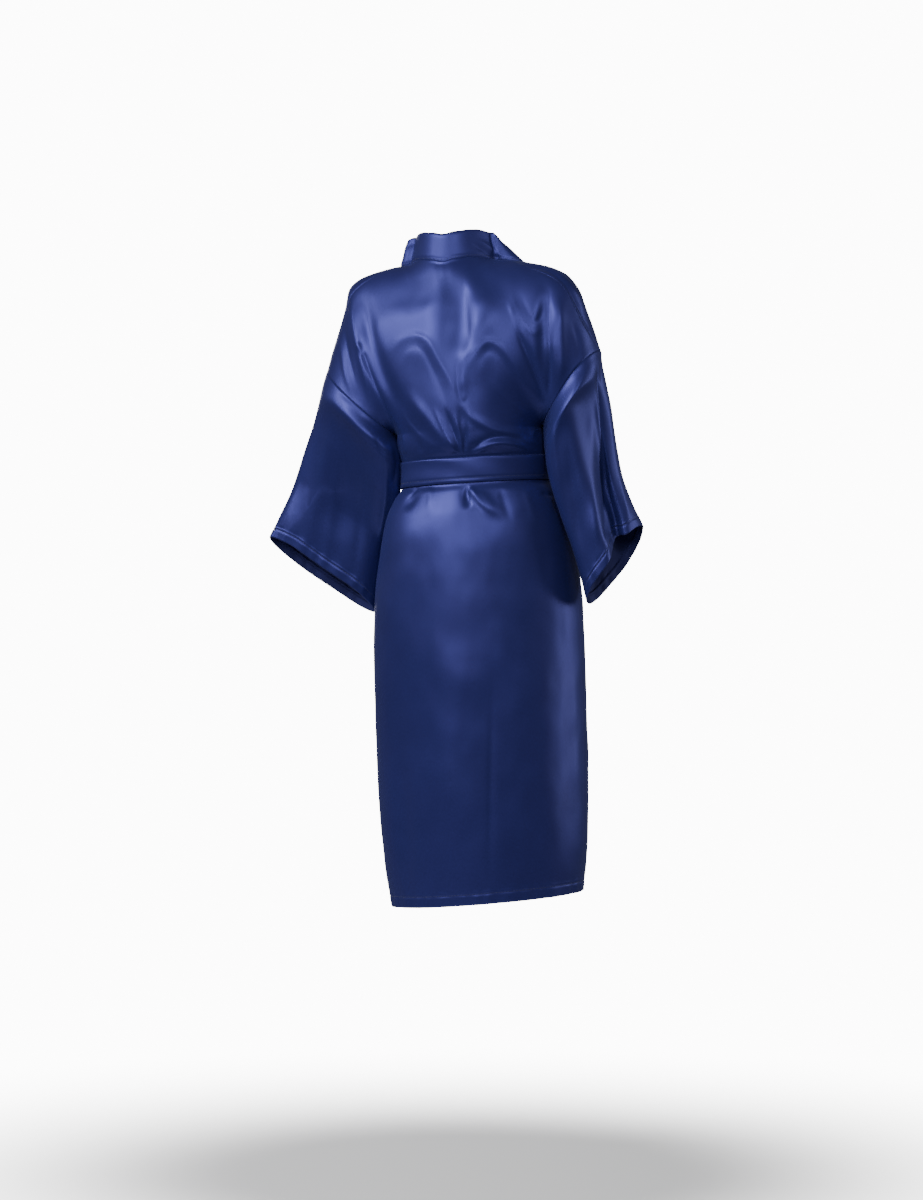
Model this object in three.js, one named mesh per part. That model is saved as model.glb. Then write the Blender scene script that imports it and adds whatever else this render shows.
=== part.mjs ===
// A child's satin kimono robe, filled out as if worn: fronts lapped left over right, dropped shoulders,
// wide three-quarter sleeves, a neckband from hem to hem by way of the back neck, and a belt tied in front.
// Millimetres. +X is the wearer's left, +Y the back, +Z up. The origin is where the shoulders hold the robe:
// the middle between the two points where the shoulder seams meet the neckband.
import * as THREE from "three";

// Cloth and seams
const CLOTH = 1.2;
const SEAM_GAP = 0.3;
const SIDE_SEAM_HALF_GAP = 0.21;
const ARMHOLE_GAP = 0.4;
const BAND_GAP = 0.6;
const BAND_THICK = 2.0;
const BAND_PROUD = 0.5;
const BELT_THICK = 2.0;
const BELT_CLEAR = 0.6;

// The crest of a shoulder from the middle of the neck (s 0) to the top of the armhole (s 1).
const CREST = [
  { s: 0.0, x: 0, z: 32 },
  { s: 0.04, x: 10, z: 31 },
  { s: 0.11, x: 28, z: 20 },
  { s: 0.16, x: 40, z: 9.5 },
  { s: 0.22, x: 54, z: 0 },
  { s: 0.35, x: 82, z: -3 },
  { s: 0.465, x: 107, z: -9 },
  { s: 0.535, x: 123, z: -15 },
  { s: 0.6, x: 136, z: -24 },
  { s: 0.67, x: 144, z: -39 },
  { s: 0.76, x: 151, z: -59 },
  { s: 0.845, x: 157, z: -79 },
  { s: 0.92, x: 163, z: -98 },
  { s: 1.0, x: 169, z: -118 },
];
const NECK_SHARE = 0.22;
const NECK_BACK_ANGLE = 0.55;
const SEAM_BACK_ANGLE = 0.3;
const SEAM_BACK_EASE = 0.7;
const SHOULDER_TO_UNDERARM = 220;
const UNDERARM = { x: 88, z: -204 };
const ARMHOLE_HALF_DEPTH = 50;

// Level sections from the underarm to the hem: half width, and depth to the back and to the front.
const SECTIONS = [
  { z: -204, half: 88, back: 82, front: 80 },
  { z: -220, half: 90, back: 81, front: 77 },
  { z: -230, half: 90, back: 78, front: 74 },
  { z: -237, half: 90, back: 74, front: 71 },
  { z: -267, half: 90, back: 74, front: 71 },
  { z: -276, half: 97, back: 78, front: 75 },
  { z: -305, half: 110, back: 87, front: 83 },
  { z: -350, half: 118, back: 94, front: 90 },
  { z: -415, half: 125, back: 97, front: 94 },
  { z: -480, half: 127, back: 98, front: 95 },
  { z: -590, half: 127, back: 98, front: 95 },
  { z: -700, half: 123, back: 96, front: 94 },
  { z: -762, half: 115, back: 93, front: 92 },
];

// How the worn robe stands: sideways lean, the left side's drop for each unit of x, and the shoulders' turn.
const STANCE = [
  { z: 40, lean: 13, tilt: 0.03, turn: 12 },
  { z: 0, lean: 12, tilt: 0.03, turn: 12 },
  { z: -50, lean: 1, tilt: 0.045, turn: 12 },
  { z: -110, lean: 0, tilt: 0.05, turn: 11 },
  { z: -204, lean: -9, tilt: 0.05, turn: 4 },
  { z: -252, lean: -17, tilt: 0.055, turn: 1 },
  { z: -300, lean: -17, tilt: 0.06, turn: 0 },
  { z: -520, lean: -21, tilt: 0.07, turn: 0 },
  { z: -800, lean: -31, tilt: 0.09, turn: 0 },
];

// Front edges: the share of the half width where a front's cut edge lies, from the neck (w 0) past the
// underarm (w 1) to the hem (w 2).
const FRONT_EDGES = {
  left: [
    { w: 0.0, s: 0.22 },
    { w: 0.05, s: 0.262 },
    { w: 0.1, s: 0.29 },
    { w: 0.16, s: 0.3 },
    { w: 0.25, s: 0.285 },
    { w: 0.4, s: 0.232 },
    { w: 0.55, s: 0.172 },
    { w: 0.75, s: 0.1 },
    { w: 0.92, s: 0.0 },
    { w: 1.05, s: -0.12 },
    { w: 1.2, s: -0.2 },
    { w: 2.0, s: -0.24 },
  ],
  right: [
    { w: 0.0, s: 0.22 },
    { w: 0.05, s: 0.275 },
    { w: 0.1, s: 0.335 },
    { w: 0.15, s: 0.375 },
    { w: 0.22, s: 0.385 },
    { w: 0.31, s: 0.355 },
    { w: 0.44, s: 0.272 },
    { w: 0.57, s: 0.19 },
    { w: 0.75, s: 0.1 },
    { w: 0.92, s: 0.0 },
    { w: 1.05, s: -0.12 },
    { w: 1.2, s: -0.2 },
    { w: 2.0, s: -0.24 },
  ],
};
const LAP = { over: 3.5, under: -1.5, startShare: 0.92, shares: 0.4, startRow: 0.2, rows: 0.4 };

// Neckband, and the way that it stands at the back and at the sides of the neck
const BAND_WIDTH = 33;
const BAND_LEAN_BACK = new THREE.Vector3(0, -0.16, 0.99).normalize();
const BAND_LEAN_SIDE = new THREE.Vector3(-0.2, -0.08, 0.97).normalize();
const BAND_LEANS_OPEN = {
  1: new THREE.Vector3(-0.3, -0.1, 0.95).normalize(),
  [-1]: new THREE.Vector3(-0.7, -0.14, 0.7).normalize(),
};
const BAND_OPENS_BY = 0.15;
const BAND_LIES = { 1: { from: 0.05, by: 0.6 }, [-1]: { from: 0.1, by: 0.75 } };

// Belt, its knot and its ends
const BELT = { z: -252, width: 29, frontRise: 6, riseEase: 1.6, riseStart: 0.3 };
const KNOT = { x: -8, halfWidth: 18, halfHeight: 21, halfDepth: 9, corners: 0.7 };
const TAILS = [
  { name: "belt_tail_left", start: 4, end: 40, top: -273.2, bottom: -572, wave: 3, proud: 10.5 },
  { name: "belt_tail_right", start: -20, end: -52, top: -273.2, bottom: -548, wave: -4, proud: 13.5 },
];
const TAIL = { width: 28.42, sway: 1.3, curl: 2 };

// Sleeves from near the armhole (t) to the cuff (1): the outer and the inner edge of the flattened tube, and
// its half depth from front to back.
const SLEEVES = {
  left: [
    { t: 0.15, outX: 173, outY: -32, outZ: -157, inX: 95, inY: -20, inZ: -238, half: 44 },
    { t: 0.4, outX: 190, outY: -34, outZ: -205, inX: 92, inY: -37, inZ: -290, half: 36 },
    { t: 0.7, outX: 212, outY: -38, outZ: -268, inX: 99, inY: -45, inZ: -354, half: 27 },
    { t: 1.0, outX: 241, outY: -41, outZ: -329, inX: 112, inY: -46, inZ: -419, half: 20 },
  ],
  right: [
    { t: 0.12, outX: -171, outY: 28, outZ: -135, inX: -112, inY: 26, inZ: -225, half: 45 },
    { t: 0.4, outX: -180, outY: 20, outZ: -194, inX: -126, inY: 42, inZ: -283, half: 38 },
    { t: 0.7, outX: -191, outY: 8, outZ: -256, inX: -138, inY: 46, inZ: -345, half: 33 },
    { t: 1.0, outX: -216, outY: -2, outZ: -319, inX: -152, inY: 48, inZ: -407, half: 30 },
  ],
};

// The largest folds of the body: ridges (depth over 0) and troughs along a line on the back or the front.
const FOLDS = [
  { face: 1, x0: 112, z0: -40, x1: 62, z1: -200, wide: 10, depth: -5 },
  { face: 1, x0: 130, z0: -50, x1: 80, z1: -190, wide: 11, depth: 3 },
  { face: 1, x0: -8, z0: -20, x1: -14, z1: -130, wide: 16, depth: -4 },
  { face: 1, x0: 40, z0: -40, x1: 24, z1: -130, wide: 26, depth: 4 },
  { face: 1, x0: -44, z0: -40, x1: -34, z1: -140, wide: 18, depth: 4 },
  { face: 1, x0: -118, z0: -40, x1: -112, z1: -175, wide: 7, depth: -5 },
  { face: 1, x0: -132, z0: -60, x1: -124, z1: -160, wide: 10, depth: 3 },
  { face: 1, x0: -86, z0: -78, x1: -106, z1: -172, wide: 8, depth: -3 },
  { face: 1, x0: 50, z0: -165, x1: 10, z1: -234, wide: 8, depth: 4 },
  { face: 1, x0: -10, z0: -180, x1: 3, z1: -236, wide: 6, depth: -3 },
  { face: 1, x0: -22, z0: -228, x1: -84, z1: -222, wide: 8, depth: 3 },
  { face: 1, x0: 6, z0: -264, x1: 3, z1: -296, wide: 5, depth: -4 },
  { face: 1, x0: 0, z0: -272, x1: -34, z1: -308, wide: 7, depth: 3 },
  { face: 1, x0: 62, z0: -266, x1: 80, z1: -292, wide: 6, depth: -4 },
  { face: 1, x0: 84, z0: -480, x1: 92, z1: -750, wide: 24, depth: -4 },
  { face: 1, x0: 24, z0: -460, x1: 20, z1: -750, wide: 28, depth: 3 },
  { face: 1, x0: -70, z0: -480, x1: -66, z1: -750, wide: 26, depth: 3 },
  { face: -1, x0: 70, z0: -90, x1: 44, z1: -215, wide: 10, depth: -4 },
  { face: -1, x0: -64, z0: -80, x1: -46, z1: -215, wide: 11, depth: 4 },
  { face: -1, x0: 30, z0: -266, x1: 46, z1: -360, wide: 10, depth: -4 },
  { face: -1, x0: -58, z0: -266, x1: -66, z1: -380, wide: 12, depth: 4 },
  { face: -1, x0: 66, z0: -400, x1: 72, z1: -740, wide: 24, depth: -5 },
  { face: -1, x0: -90, z0: -420, x1: -84, z1: -740, wide: 22, depth: 5 },
];
const BELT_HOLDS = { top: -234, bottom: -270, fade: 14 };
const FOLDS_START_ROW = 0.15;
const FOLDS_FADE_POWER = 10;

// The largest folds of the sleeves, by the angle round the tube: 0 is the outer edge, a quarter turn the
// back. slide moves the cloth towards the outer edge and drop moves it down, both most at the cuff.
const SLEEVE_FOLDS = {
  left: [
    { turn: 0.9, t0: 0.05, t1: 1.1, wide: 0.3, depth: 4, slide: 0, drop: 0 },
    { turn: 1.5, t0: 0.1, t1: 1.1, wide: 0.35, depth: -4, slide: 0, drop: 0 },
    { turn: 2.2, t0: 0.2, t1: 1.1, wide: 0.3, depth: 4, slide: 0, drop: 0 },
    { turn: 4.5, t0: 0.1, t1: 1.1, wide: 0.4, depth: -5, slide: 0, drop: 0 },
  ],
  right: [
    { turn: 1.05, t0: -0.1, t1: 1.3, wide: 0.26, depth: -13, slide: 0, drop: -9 },
    { turn: 1.55, t0: 0.1, t1: 1.2, wide: 0.4, depth: 6, slide: 11, drop: 9 },
    { turn: 4.4, t0: 0.1, t1: 1.1, wide: 0.4, depth: -6, slide: 0, drop: 0 },
  ],
};
const CUFF_SHAPE_FROM = 0.35;
const SLEEVE_FITS_BY = 0.4;
const SLEEVE_FIT_EASE = 1.5;
const SLEEVE_FOLDS_BY = 0.2;

// Grid sizes
const NECK_COLUMNS = 5;
const SIDE_COLUMNS = 11;
const BESIDE_SEAM = 0.012;
const UPPER_ROWS = 14;
const LOWER_ROWS_Z = [
  -212, -221, -230, -237, -252, -267, -272, -280, -292, -312,
  -340, -380, -430, -490, -550, -610, -670, -720, -762,
];
const BAND_ACROSS = 3;
const SLEEVE_SIDES = 2 * UPPER_ROWS;
const SLEEVE_RINGS = 11;
const BELT_SIDES = 48;
const BELT_ROWS = 2;
const TAIL_ROWS = 14;
const TAIL_COLUMNS = 3;

// Small steps that take slopes of the surface
const SLOPE_STEP = 0.004;
const EDGE_STEP = 0.01;
const BAND_SHARE_STEP = 0.05;
const BAND_ROW_STEP = 0.02;

const QUARTER = Math.PI / 2;
const UP = new THREE.Vector3(0, 0, 1);
const vec = (x, y, z) => new THREE.Vector3(x, y, z);
const mix = (a, b, t) => a + (b - a) * t;
const clamp01 = (t) => Math.min(1, Math.max(0, t));
const smooth = (t) => clamp01(t) ** 2 * (3 - 2 * clamp01(t));
const steps = (from, to, count) => Array.from({ length: count + 1 }, (_, i) => mix(from, to, i / count));

// A smooth curve through one column of a table that doesn't overshoot between rows.
function through(table, key, column) {
  const xs = table.map((row) => row[key]);
  const ys = table.map((row) => row[column]);
  const step = xs.slice(1).map((x, i) => x - xs[i]);
  const rise = step.map((h, i) => (ys[i + 1] - ys[i]) / h);
  const slope = ys.map((_, i) => {
    if (i === 0) return rise[0];
    if (i === ys.length - 1) return rise[i - 1];
    if (rise[i - 1] * rise[i] <= 0) return 0;
    const a = 2 * step[i] + step[i - 1];
    const b = step[i] + 2 * step[i - 1];
    return (a + b) / (a / rise[i - 1] + b / rise[i]);
  });
  const direction = Math.sign(step[0]);
  return (x) => {
    let i = 0;
    while (i < step.length - 1 && direction * x > direction * xs[i + 1]) i += 1;
    const t = clamp01((x - xs[i]) / step[i]);
    const ease = t * t * (3 - 2 * t);
    const tangentIn = t * (1 - t) ** 2 * step[i] * slope[i];
    const tangentOut = t * t * (t - 1) * step[i] * slope[i + 1];
    return mix(ys[i], ys[i + 1], ease) + tangentIn + tangentOut;
  };
}

const crestX = through(CREST, "s", "x");
const crestZ = through(CREST, "s", "z");
const frontEdges = { 1: through(FRONT_EDGES.left, "w", "s"), [-1]: through(FRONT_EDGES.right, "w", "s") };
const sectionHalf = through(SECTIONS, "z", "half");
const sectionDepth = { 1: through(SECTIONS, "z", "back"), [-1]: through(SECTIONS, "z", "front") };
const lean = through(STANCE, "z", "lean");
const tilt = through(STANCE, "z", "tilt");
const turn = through(STANCE, "z", "turn");
const HEM_Z = SECTIONS[SECTIONS.length - 1].z;
const rowAt = (z) => 1 + (z - UNDERARM.z) / (HEM_Z - UNDERARM.z);

// Moves a point of the straight garment to where the worn one has it.
function stand(p) {
  const angle = -THREE.MathUtils.degToRad(turn(p.z));
  const dropped = vec(p.x, p.y, p.z - tilt(p.z) * p.x);
  return dropped.applyAxisAngle(UP, angle).add(vec(lean(p.z), 0, 0));
}

// The robe above the underarm. s is 0 in the middle and 1 at the armhole; angle is 0 on the crest of the
// shoulder, a quarter turn at the underarm behind and minus that in front.
function yoke(s, angle) {
  const share = Math.abs(s);
  const sign = s < 0 ? -1 : 1;
  const sine = Math.sin(angle);
  const round = Math.cos(QUARTER * share);
  const depth = sectionDepth[angle >= 0 ? 1 : -1](UNDERARM.z);
  const drop = mix(1 - Math.cos(angle), sine * sine, share * share);
  return vec(
    sign * mix(crestX(share), UNDERARM.x * Math.sin(QUARTER * share), sine * sine),
    depth * sine * round + ARMHOLE_HALF_DEPTH * Math.sin(2 * angle) * (1 - round),
    mix(crestZ(share), UNDERARM.z, drop),
  );
}

// The angle where a panel starts: at the neckline behind, and along the shoulder seam, just behind the crest.
function startAngle(s, face) {
  const share = Math.abs(s);
  if (share < NECK_SHARE) return face > 0 ? NECK_BACK_ANGLE * (1 - (share / NECK_SHARE) ** 2) : 0;
  const along = (share - NECK_SHARE) / (1 - NECK_SHARE);
  return SEAM_BACK_ANGLE * Math.sin(Math.PI * along) ** SEAM_BACK_EASE;
}

// A point of the plain body: w is 0 at the neckline or shoulder seam, 1 at the underarm and 2 at the hem.
function plainBody(s, w, face) {
  if (w <= 1) return yoke(s, mix(startAngle(s, face), face * QUARTER, w));
  const z = mix(UNDERARM.z, HEM_Z, w - 1);
  const depth = sectionDepth[face](z);
  return vec(sectionHalf(z) * Math.sin(QUARTER * s), face * depth * Math.cos(QUARTER * s), z);
}

// The outward direction of the plain body.
function outward(s, w, face) {
  const e = SLOPE_STEP;
  const across = plainBody(Math.min(1, s + e), w, face).sub(plainBody(Math.max(-1, s - e), w, face));
  const down = plainBody(s, Math.min(2, w + e), face).sub(plainBody(s, Math.max(0, w - e), face));
  return across.cross(down).multiplyScalar(face).normalize();
}

// How far the folds lift the cloth at a point of the plain body; none where the belt holds it.
function foldLift(p, face) {
  const above = (p.z - BELT_HOLDS.top) / BELT_HOLDS.fade;
  const below = (BELT_HOLDS.bottom - p.z) / BELT_HOLDS.fade;
  const free = smooth(Math.max(above, below));
  const lifts = FOLDS.filter((fold) => fold.face === face).map((fold) => {
    const run = { x: fold.x1 - fold.x0, z: fold.z1 - fold.z0 };
    const length = Math.hypot(run.x, run.z);
    const along = clamp01(((p.x - fold.x0) * run.x + (p.z - fold.z0) * run.z) / length ** 2);
    const off = Math.hypot(p.x - fold.x0 - along * run.x, p.z - fold.z0 - along * run.z);
    return fold.depth * Math.exp(-((off / fold.wide) ** 2));
  });
  return free * lifts.reduce((sum, lift) => sum + lift, 0);
}

// A point of the body's cloth, with its folds, which die away at the seams.
function body(s, w, face, lap = 0) {
  const p = plainBody(s, w, face);
  const seam = (1 - Math.abs(s) ** FOLDS_FADE_POWER) * smooth(w / FOLDS_START_ROW);
  return p.clone().addScaledVector(outward(s, w, face), foldLift(p, face) * seam + lap);
}

// A closed wall of cloth from rows of outer points. inside gives a point that the wall's inner face looks to,
// and rim is the normal of a plane that the first row's edge stays in.
function wall(rows, thickness, inside, tube = false, rim = null) {
  const count = rows[0].length;
  const last = rows.length - 1;
  const wrap = (j) => (tube ? (j + count) % count : Math.min(count - 1, Math.max(0, j)));
  const normals = rows.map((row, i) =>
    row.map((_, j) => {
      const across = rows[i][wrap(j + 1)].clone().sub(rows[i][wrap(j - 1)]);
      const down = rows[Math.min(last, i + 1)][j].clone().sub(rows[Math.max(0, i - 1)][j]);
      const normal = across.cross(down);
      if (rim && i === 0) normal.projectOnPlane(rim);
      return normal.normalize();
    }),
  );
  const agreement = rows.flatMap((row, i) =>
    row.map((p, j) => normals[i][j].dot(inside(p).sub(p).normalize())),
  );
  const inwards = Math.sign(agreement.reduce((sum, value) => sum + value, 0));
  const outer = rows.flat();
  const inner = outer.map((p, k) =>
    p.clone().addScaledVector(normals[Math.floor(k / count)][k % count], inwards * thickness),
  );
  const index = [];
  const quad = (a, b, c, d) => {
    const corners = inwards > 0 ? [a, b, c, a, c, d] : [a, c, b, a, d, c];
    index.push(...corners);
  };
  const out = (i, j) => i * count + (tube ? j % count : j);
  const back = (i, j) => outer.length + out(i, j);
  const columns = tube ? count : count - 1;
  for (let i = 0; i < last; i += 1) {
    for (let j = 0; j < columns; j += 1) {
      quad(out(i, j), out(i + 1, j), out(i + 1, j + 1), out(i, j + 1));
      quad(back(i, j + 1), back(i + 1, j + 1), back(i + 1, j), back(i, j));
    }
  }
  for (let j = 0; j < columns; j += 1) {
    quad(out(0, j + 1), back(0, j + 1), back(0, j), out(0, j));
    quad(out(last, j), back(last, j), back(last, j + 1), out(last, j + 1));
  }
  for (let i = 0; i < last && !tube; i += 1) {
    quad(out(i, 0), back(i, 0), back(i + 1, 0), out(i + 1, 0));
    quad(out(i + 1, count - 1), back(i + 1, count - 1), back(i, count - 1), out(i, count - 1));
  }
  const geometry = new THREE.BufferGeometry();
  const positions = [...outer, ...inner].flatMap((p) => [p.x, p.y, p.z]);
  geometry.setAttribute("position", new THREE.Float32BufferAttribute(positions, 3));
  geometry.setIndex(index);
  geometry.computeVertexNormals();
  return geometry;
}

const axisAt = (p) => vec(lean(p.z), 0, Math.min(p.z, -40) - 20);
const bodyRows = [0, BESIDE_SEAM, ...steps(0, 1, UPPER_ROWS).slice(1), ...LOWER_ROWS_Z.map(rowAt)];
const sideColumns = [...steps(0, 1, SIDE_COLUMNS).slice(0, -1), 1 - BESIDE_SEAM, 1];
const neckColumns = steps(0, 1, NECK_COLUMNS);

// Pulls a panel's side edge back from the seam by half the gap.
function seamShare(s, w) {
  const half = w <= 1 ? UNDERARM.x : sectionHalf(mix(UNDERARM.z, HEM_Z, w - 1));
  const limit = Math.acos(SIDE_SEAM_HALF_GAP / half) / QUARTER;
  return w < 1 ? s : Math.sign(s) * Math.min(Math.abs(s), limit);
}

// The start of a panel is moved away from its seam by the gap.
const seamRow = (w) => (w === 0 ? SEAM_GAP / SHOULDER_TO_UNDERARM : w);

function backPanel() {
  const besideNeck = sideColumns.slice(1).map((c) => mix(NECK_SHARE, 1, c));
  const half = [...neckColumns.map((c) => NECK_SHARE * c), ...besideNeck];
  const columns = [...half.slice(1).reverse().map((s) => -s), ...half];
  const rows = bodyRows.map((w) => columns.map((s) => stand(body(seamShare(s, w), seamRow(w), 1))));
  return wall(rows, CLOTH, axisAt);
}

// A point of a front, from its own side: s is 1 at the side seam and under 0 past the middle.
function front(side, s, w) {
  const overlapped = smooth((LAP.startShare - s) / LAP.shares) * smooth((w - LAP.startRow) / LAP.rows);
  const lap = (side > 0 ? LAP.over : LAP.under) * overlapped;
  return body(side * s, w, -1, lap);
}

function frontPanel(side) {
  const rows = bodyRows.map((w) =>
    sideColumns.map((c) => stand(front(side, seamShare(mix(frontEdges[side](w), 1, c), w), seamRow(w)))),
  );
  return wall(rows, CLOTH, axisAt);
}

// The neckband where it lies on a front: f runs from the seam (0) to the free edge (1).
function bandOnFront(side, w, f) {
  const e = EDGE_STEP;
  const edge = frontEdges[side];
  const s = edge(w);
  const seam = front(side, s, w);
  const before = Math.max(0, w - e);
  const alongEdge = front(side, edge(w + e), w + e).sub(front(side, edge(before), before));
  const outwards = outward(side * s, Math.max(w, BAND_ROW_STEP), -1);
  const away = alongEdge.clone().cross(outwards).normalize();
  const perShare = front(side, s - BAND_SHARE_STEP, w).sub(seam).divideScalar(BAND_SHARE_STEP);
  const perRow = front(side, s, w - BAND_ROW_STEP).sub(seam).divideScalar(BAND_ROW_STEP);
  away.multiplyScalar(Math.sign(away.dot(perShare)));
  const reach = BAND_GAP + BAND_WIDTH * f;
  const wanted = away.clone().multiplyScalar(reach);
  const aa = perShare.dot(perShare);
  const ab = perShare.dot(perRow);
  const bb = perRow.dot(perRow);
  const det = aa * bb - ab * ab;
  const shares = (wanted.dot(perShare) * bb - wanted.dot(perRow) * ab) / det;
  const risen = (wanted.dot(perRow) * aa - wanted.dot(perShare) * ab) / det;
  const lying = front(side, s - shares, Math.min(2, w - risen)).addScaledVector(outwards, BAND_PROUD);
  const leaning = BAND_LEAN_SIDE.clone().lerp(BAND_LEANS_OPEN[side], smooth(w / BAND_OPENS_BY)).normalize();
  const standing = seam.clone().add(leaning.multiply(vec(side, 1, 1)).multiplyScalar(reach));
  const lies = BAND_LIES[side];
  return standing.lerp(lying, smooth((w - lies.from) / (lies.by - lies.from)));
}

// The neckband where it stands round the back of the neck.
function bandBehind(side, share, f) {
  const s = side * share * NECK_SHARE;
  const seam = body(s, 0, 1);
  const leanSide = BAND_LEAN_SIDE.clone().multiply(vec(side, 1, 1));
  const leanHere = BAND_LEAN_BACK.clone().lerp(leanSide, share ** 2).normalize();
  return seam.addScaledVector(leanHere, SEAM_GAP + BAND_WIDTH * f);
}

function neckband() {
  const across = steps(0, 1, BAND_ACROSS);
  const down = bodyRows.slice(1);
  const onFront = (side) => down.map((w) => across.map((f) => stand(bandOnFront(side, w, f))));
  const behind = [...neckColumns.slice(1).reverse().map((share) => -share), ...neckColumns].map((share) =>
    across.map((f) => stand(bandBehind(Math.sign(share) || 1, Math.abs(share), f))),
  );
  const rows = [...onFront(-1).reverse(), ...behind, ...onFront(1)];
  return wall(rows, BAND_THICK, axisAt);
}

// Sleeves
const armhole = (side, angle) => stand(yoke(side, angle));

function sleeve(side) {
  const name = side > 0 ? "left" : "right";
  const table = SLEEVES[name];
  const top = armhole(side, 0);
  const under = armhole(side, QUARTER);
  const start = {
    t: 0,
    outX: top.x,
    outY: top.y,
    outZ: top.z,
    inX: under.x,
    inY: under.y,
    inZ: under.z,
    half: ARMHOLE_HALF_DEPTH,
  };
  const full = [start, ...table];
  const curves = Object.keys(start).map((column) => [column, through(full, "t", column)]);
  const curve = Object.fromEntries(curves);
  const outer = (t) => vec(curve.outX(t), curve.outY(t), curve.outZ(t));
  const inner = (t) => vec(curve.inX(t), curve.inY(t), curve.inZ(t));
  const leave = outer(0.1).add(inner(0.1)).sub(outer(0)).sub(inner(0)).normalize();
  const away = top.clone().sub(under).cross(armhole(side, QUARTER / 2).sub(under)).normalize();
  away.multiplyScalar(Math.sign(away.dot(leave)));
  const depthWay = (t) => {
    const reach = outer(t).sub(inner(t));
    const down = leave.clone();
    return reach.cross(down).multiplyScalar(side).normalize();
  };
  const plain = (t, a) => {
    const middle = outer(t).add(inner(t)).multiplyScalar(0.5);
    const reach = outer(t).sub(middle).multiplyScalar(Math.cos(a));
    return middle.add(reach).addScaledVector(depthWay(t), curve.half(t) * Math.sin(a));
  };
  const point = (t, a) => {
    const angle = a <= Math.PI ? a / 2 : -(2 * Math.PI - a) / 2;
    const fitShare = (1 - smooth(t / SLEEVE_FITS_BY)) ** SLEEVE_FIT_EASE;
    const fit = armhole(side, angle).sub(plain(0, a)).multiplyScalar(fitShare);
    const folded = plain(t, a).add(fit).addScaledVector(away, ARMHOLE_GAP * (1 - t));
    const bulge = depthWay(t).multiplyScalar(Math.sign(Math.sin(a)) || 1);
    const outwards = outer(t).sub(inner(t)).normalize();
    const nearCuff = smooth((t - CUFF_SHAPE_FROM) / (1 - CUFF_SHAPE_FROM));
    for (const fold of SLEEVE_FOLDS[name]) {
      const share = Math.exp(-(((a - fold.turn) / fold.wide) ** 2));
      const along = clamp01((t - fold.t0) / (fold.t1 - fold.t0));
      const lift = fold.depth * share * Math.sqrt(Math.sin(Math.PI * along)) * smooth(t / SLEEVE_FOLDS_BY);
      folded.addScaledVector(bulge, lift);
      folded.addScaledVector(outwards, fold.slide * share * nearCuff);
      folded.addScaledVector(leave, fold.drop * share * nearCuff);
    }
    return folded;
  };
  const angles = steps(0, 2 * Math.PI, SLEEVE_SIDES).slice(0, -1);
  const rows = steps(0, 1, SLEEVE_RINGS).map((t) => angles.map((a) => point(t, a)));
  const middleOf = (row) => row.reduce((sum, p) => sum.add(p), vec(0, 0, 0)).divideScalar(row.length);
  const centres = rows.map(middleOf);
  const nearest = (p) => centres.reduce((best, c) => (c.distanceTo(p) < best.distanceTo(p) ? c : best));
  return wall(rows, CLOTH, (p) => nearest(p).clone(), true, away);
}

// Belt
function beltPoint(angle, z, proud) {
  const face = Math.cos(angle) >= 0 ? 1 : -1;
  const lifted = BELT.frontRise * smooth(BELT.riseStart - BELT.riseEase * Math.cos(angle));
  const off = BELT_CLEAR + proud + lifted;
  const half = sectionHalf(BELT.z) + off;
  const depth = sectionDepth[face](BELT.z) + off;
  return stand(vec(half * Math.sin(angle), depth * Math.cos(angle), z));
}

function belt() {
  const heights = steps(BELT.z + BELT.width / 2, BELT.z - BELT.width / 2, BELT_ROWS);
  const angles = steps(0, 2 * Math.PI, BELT_SIDES).slice(0, -1);
  const rows = heights.map((z) => angles.map((angle) => beltPoint(angle, z, BELT_THICK)));
  return wall(rows, BELT_THICK, (p) => vec(lean(p.z), 0, p.z), true);
}

function beltKnot() {
  const geometry = new THREE.SphereGeometry(1, 18, 10);
  const position = geometry.getAttribute("position");
  const square = (value) => Math.sign(value) * Math.abs(value) ** KNOT.corners;
  const faceY = beltPoint(Math.PI, BELT.z, BELT_THICK).y - SEAM_GAP - KNOT.halfDepth;
  const centre = vec(KNOT.x + lean(BELT.z), faceY, BELT.z);
  for (let i = 0; i < position.count; i += 1) {
    const p = vec(position.getX(i), position.getY(i), position.getZ(i));
    const shaped = vec(square(p.x) * KNOT.halfWidth, p.y * KNOT.halfDepth, square(p.z) * KNOT.halfHeight);
    shaped.add(centre);
    position.setXYZ(i, shaped.x, shaped.y, shaped.z);
  }
  return geometry;
}

function beltTail(tail) {
  const rows = steps(0, 1, TAIL_ROWS).map((down) => {
    const z = mix(tail.top, tail.bottom, down);
    const middle = mix(tail.start, tail.end, down ** TAIL.sway) + tail.wave * Math.sin(2 * Math.PI * down);
    return steps(-0.5, 0.5, TAIL_COLUMNS).map((share) => {
      const x = middle + share * TAIL.width;
      const cloth = sectionDepth[-1](z) * Math.sqrt(1 - (x / sectionHalf(z)) ** 2);
      const curl = TAIL.curl * Math.cos(Math.PI * share) * down;
      return stand(vec(x, -cloth - tail.proud - curl, z));
    });
  });
  return wall(rows, BELT_THICK, (p) => vec(p.x, 0, p.z));
}

const SATIN = { color: 0x283870, roughness: 0.36, metalness: 0 };
const robe = new THREE.Group();

function sew(name, geometry) {
  const piece = new THREE.Mesh(geometry, new THREE.MeshStandardMaterial(SATIN));
  piece.name = name;
  robe.add(piece);
}

sew("back", backPanel());
sew("front_left", frontPanel(1));
sew("front_right", frontPanel(-1));
sew("sleeve_left", sleeve(1));
sew("sleeve_right", sleeve(-1));
sew("neckband", neckband());
sew("belt", belt());
sew("belt_knot", beltKnot());
for (const tail of TAILS) sew(tail.name, beltTail(tail));

export default robe;
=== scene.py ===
import math

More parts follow.
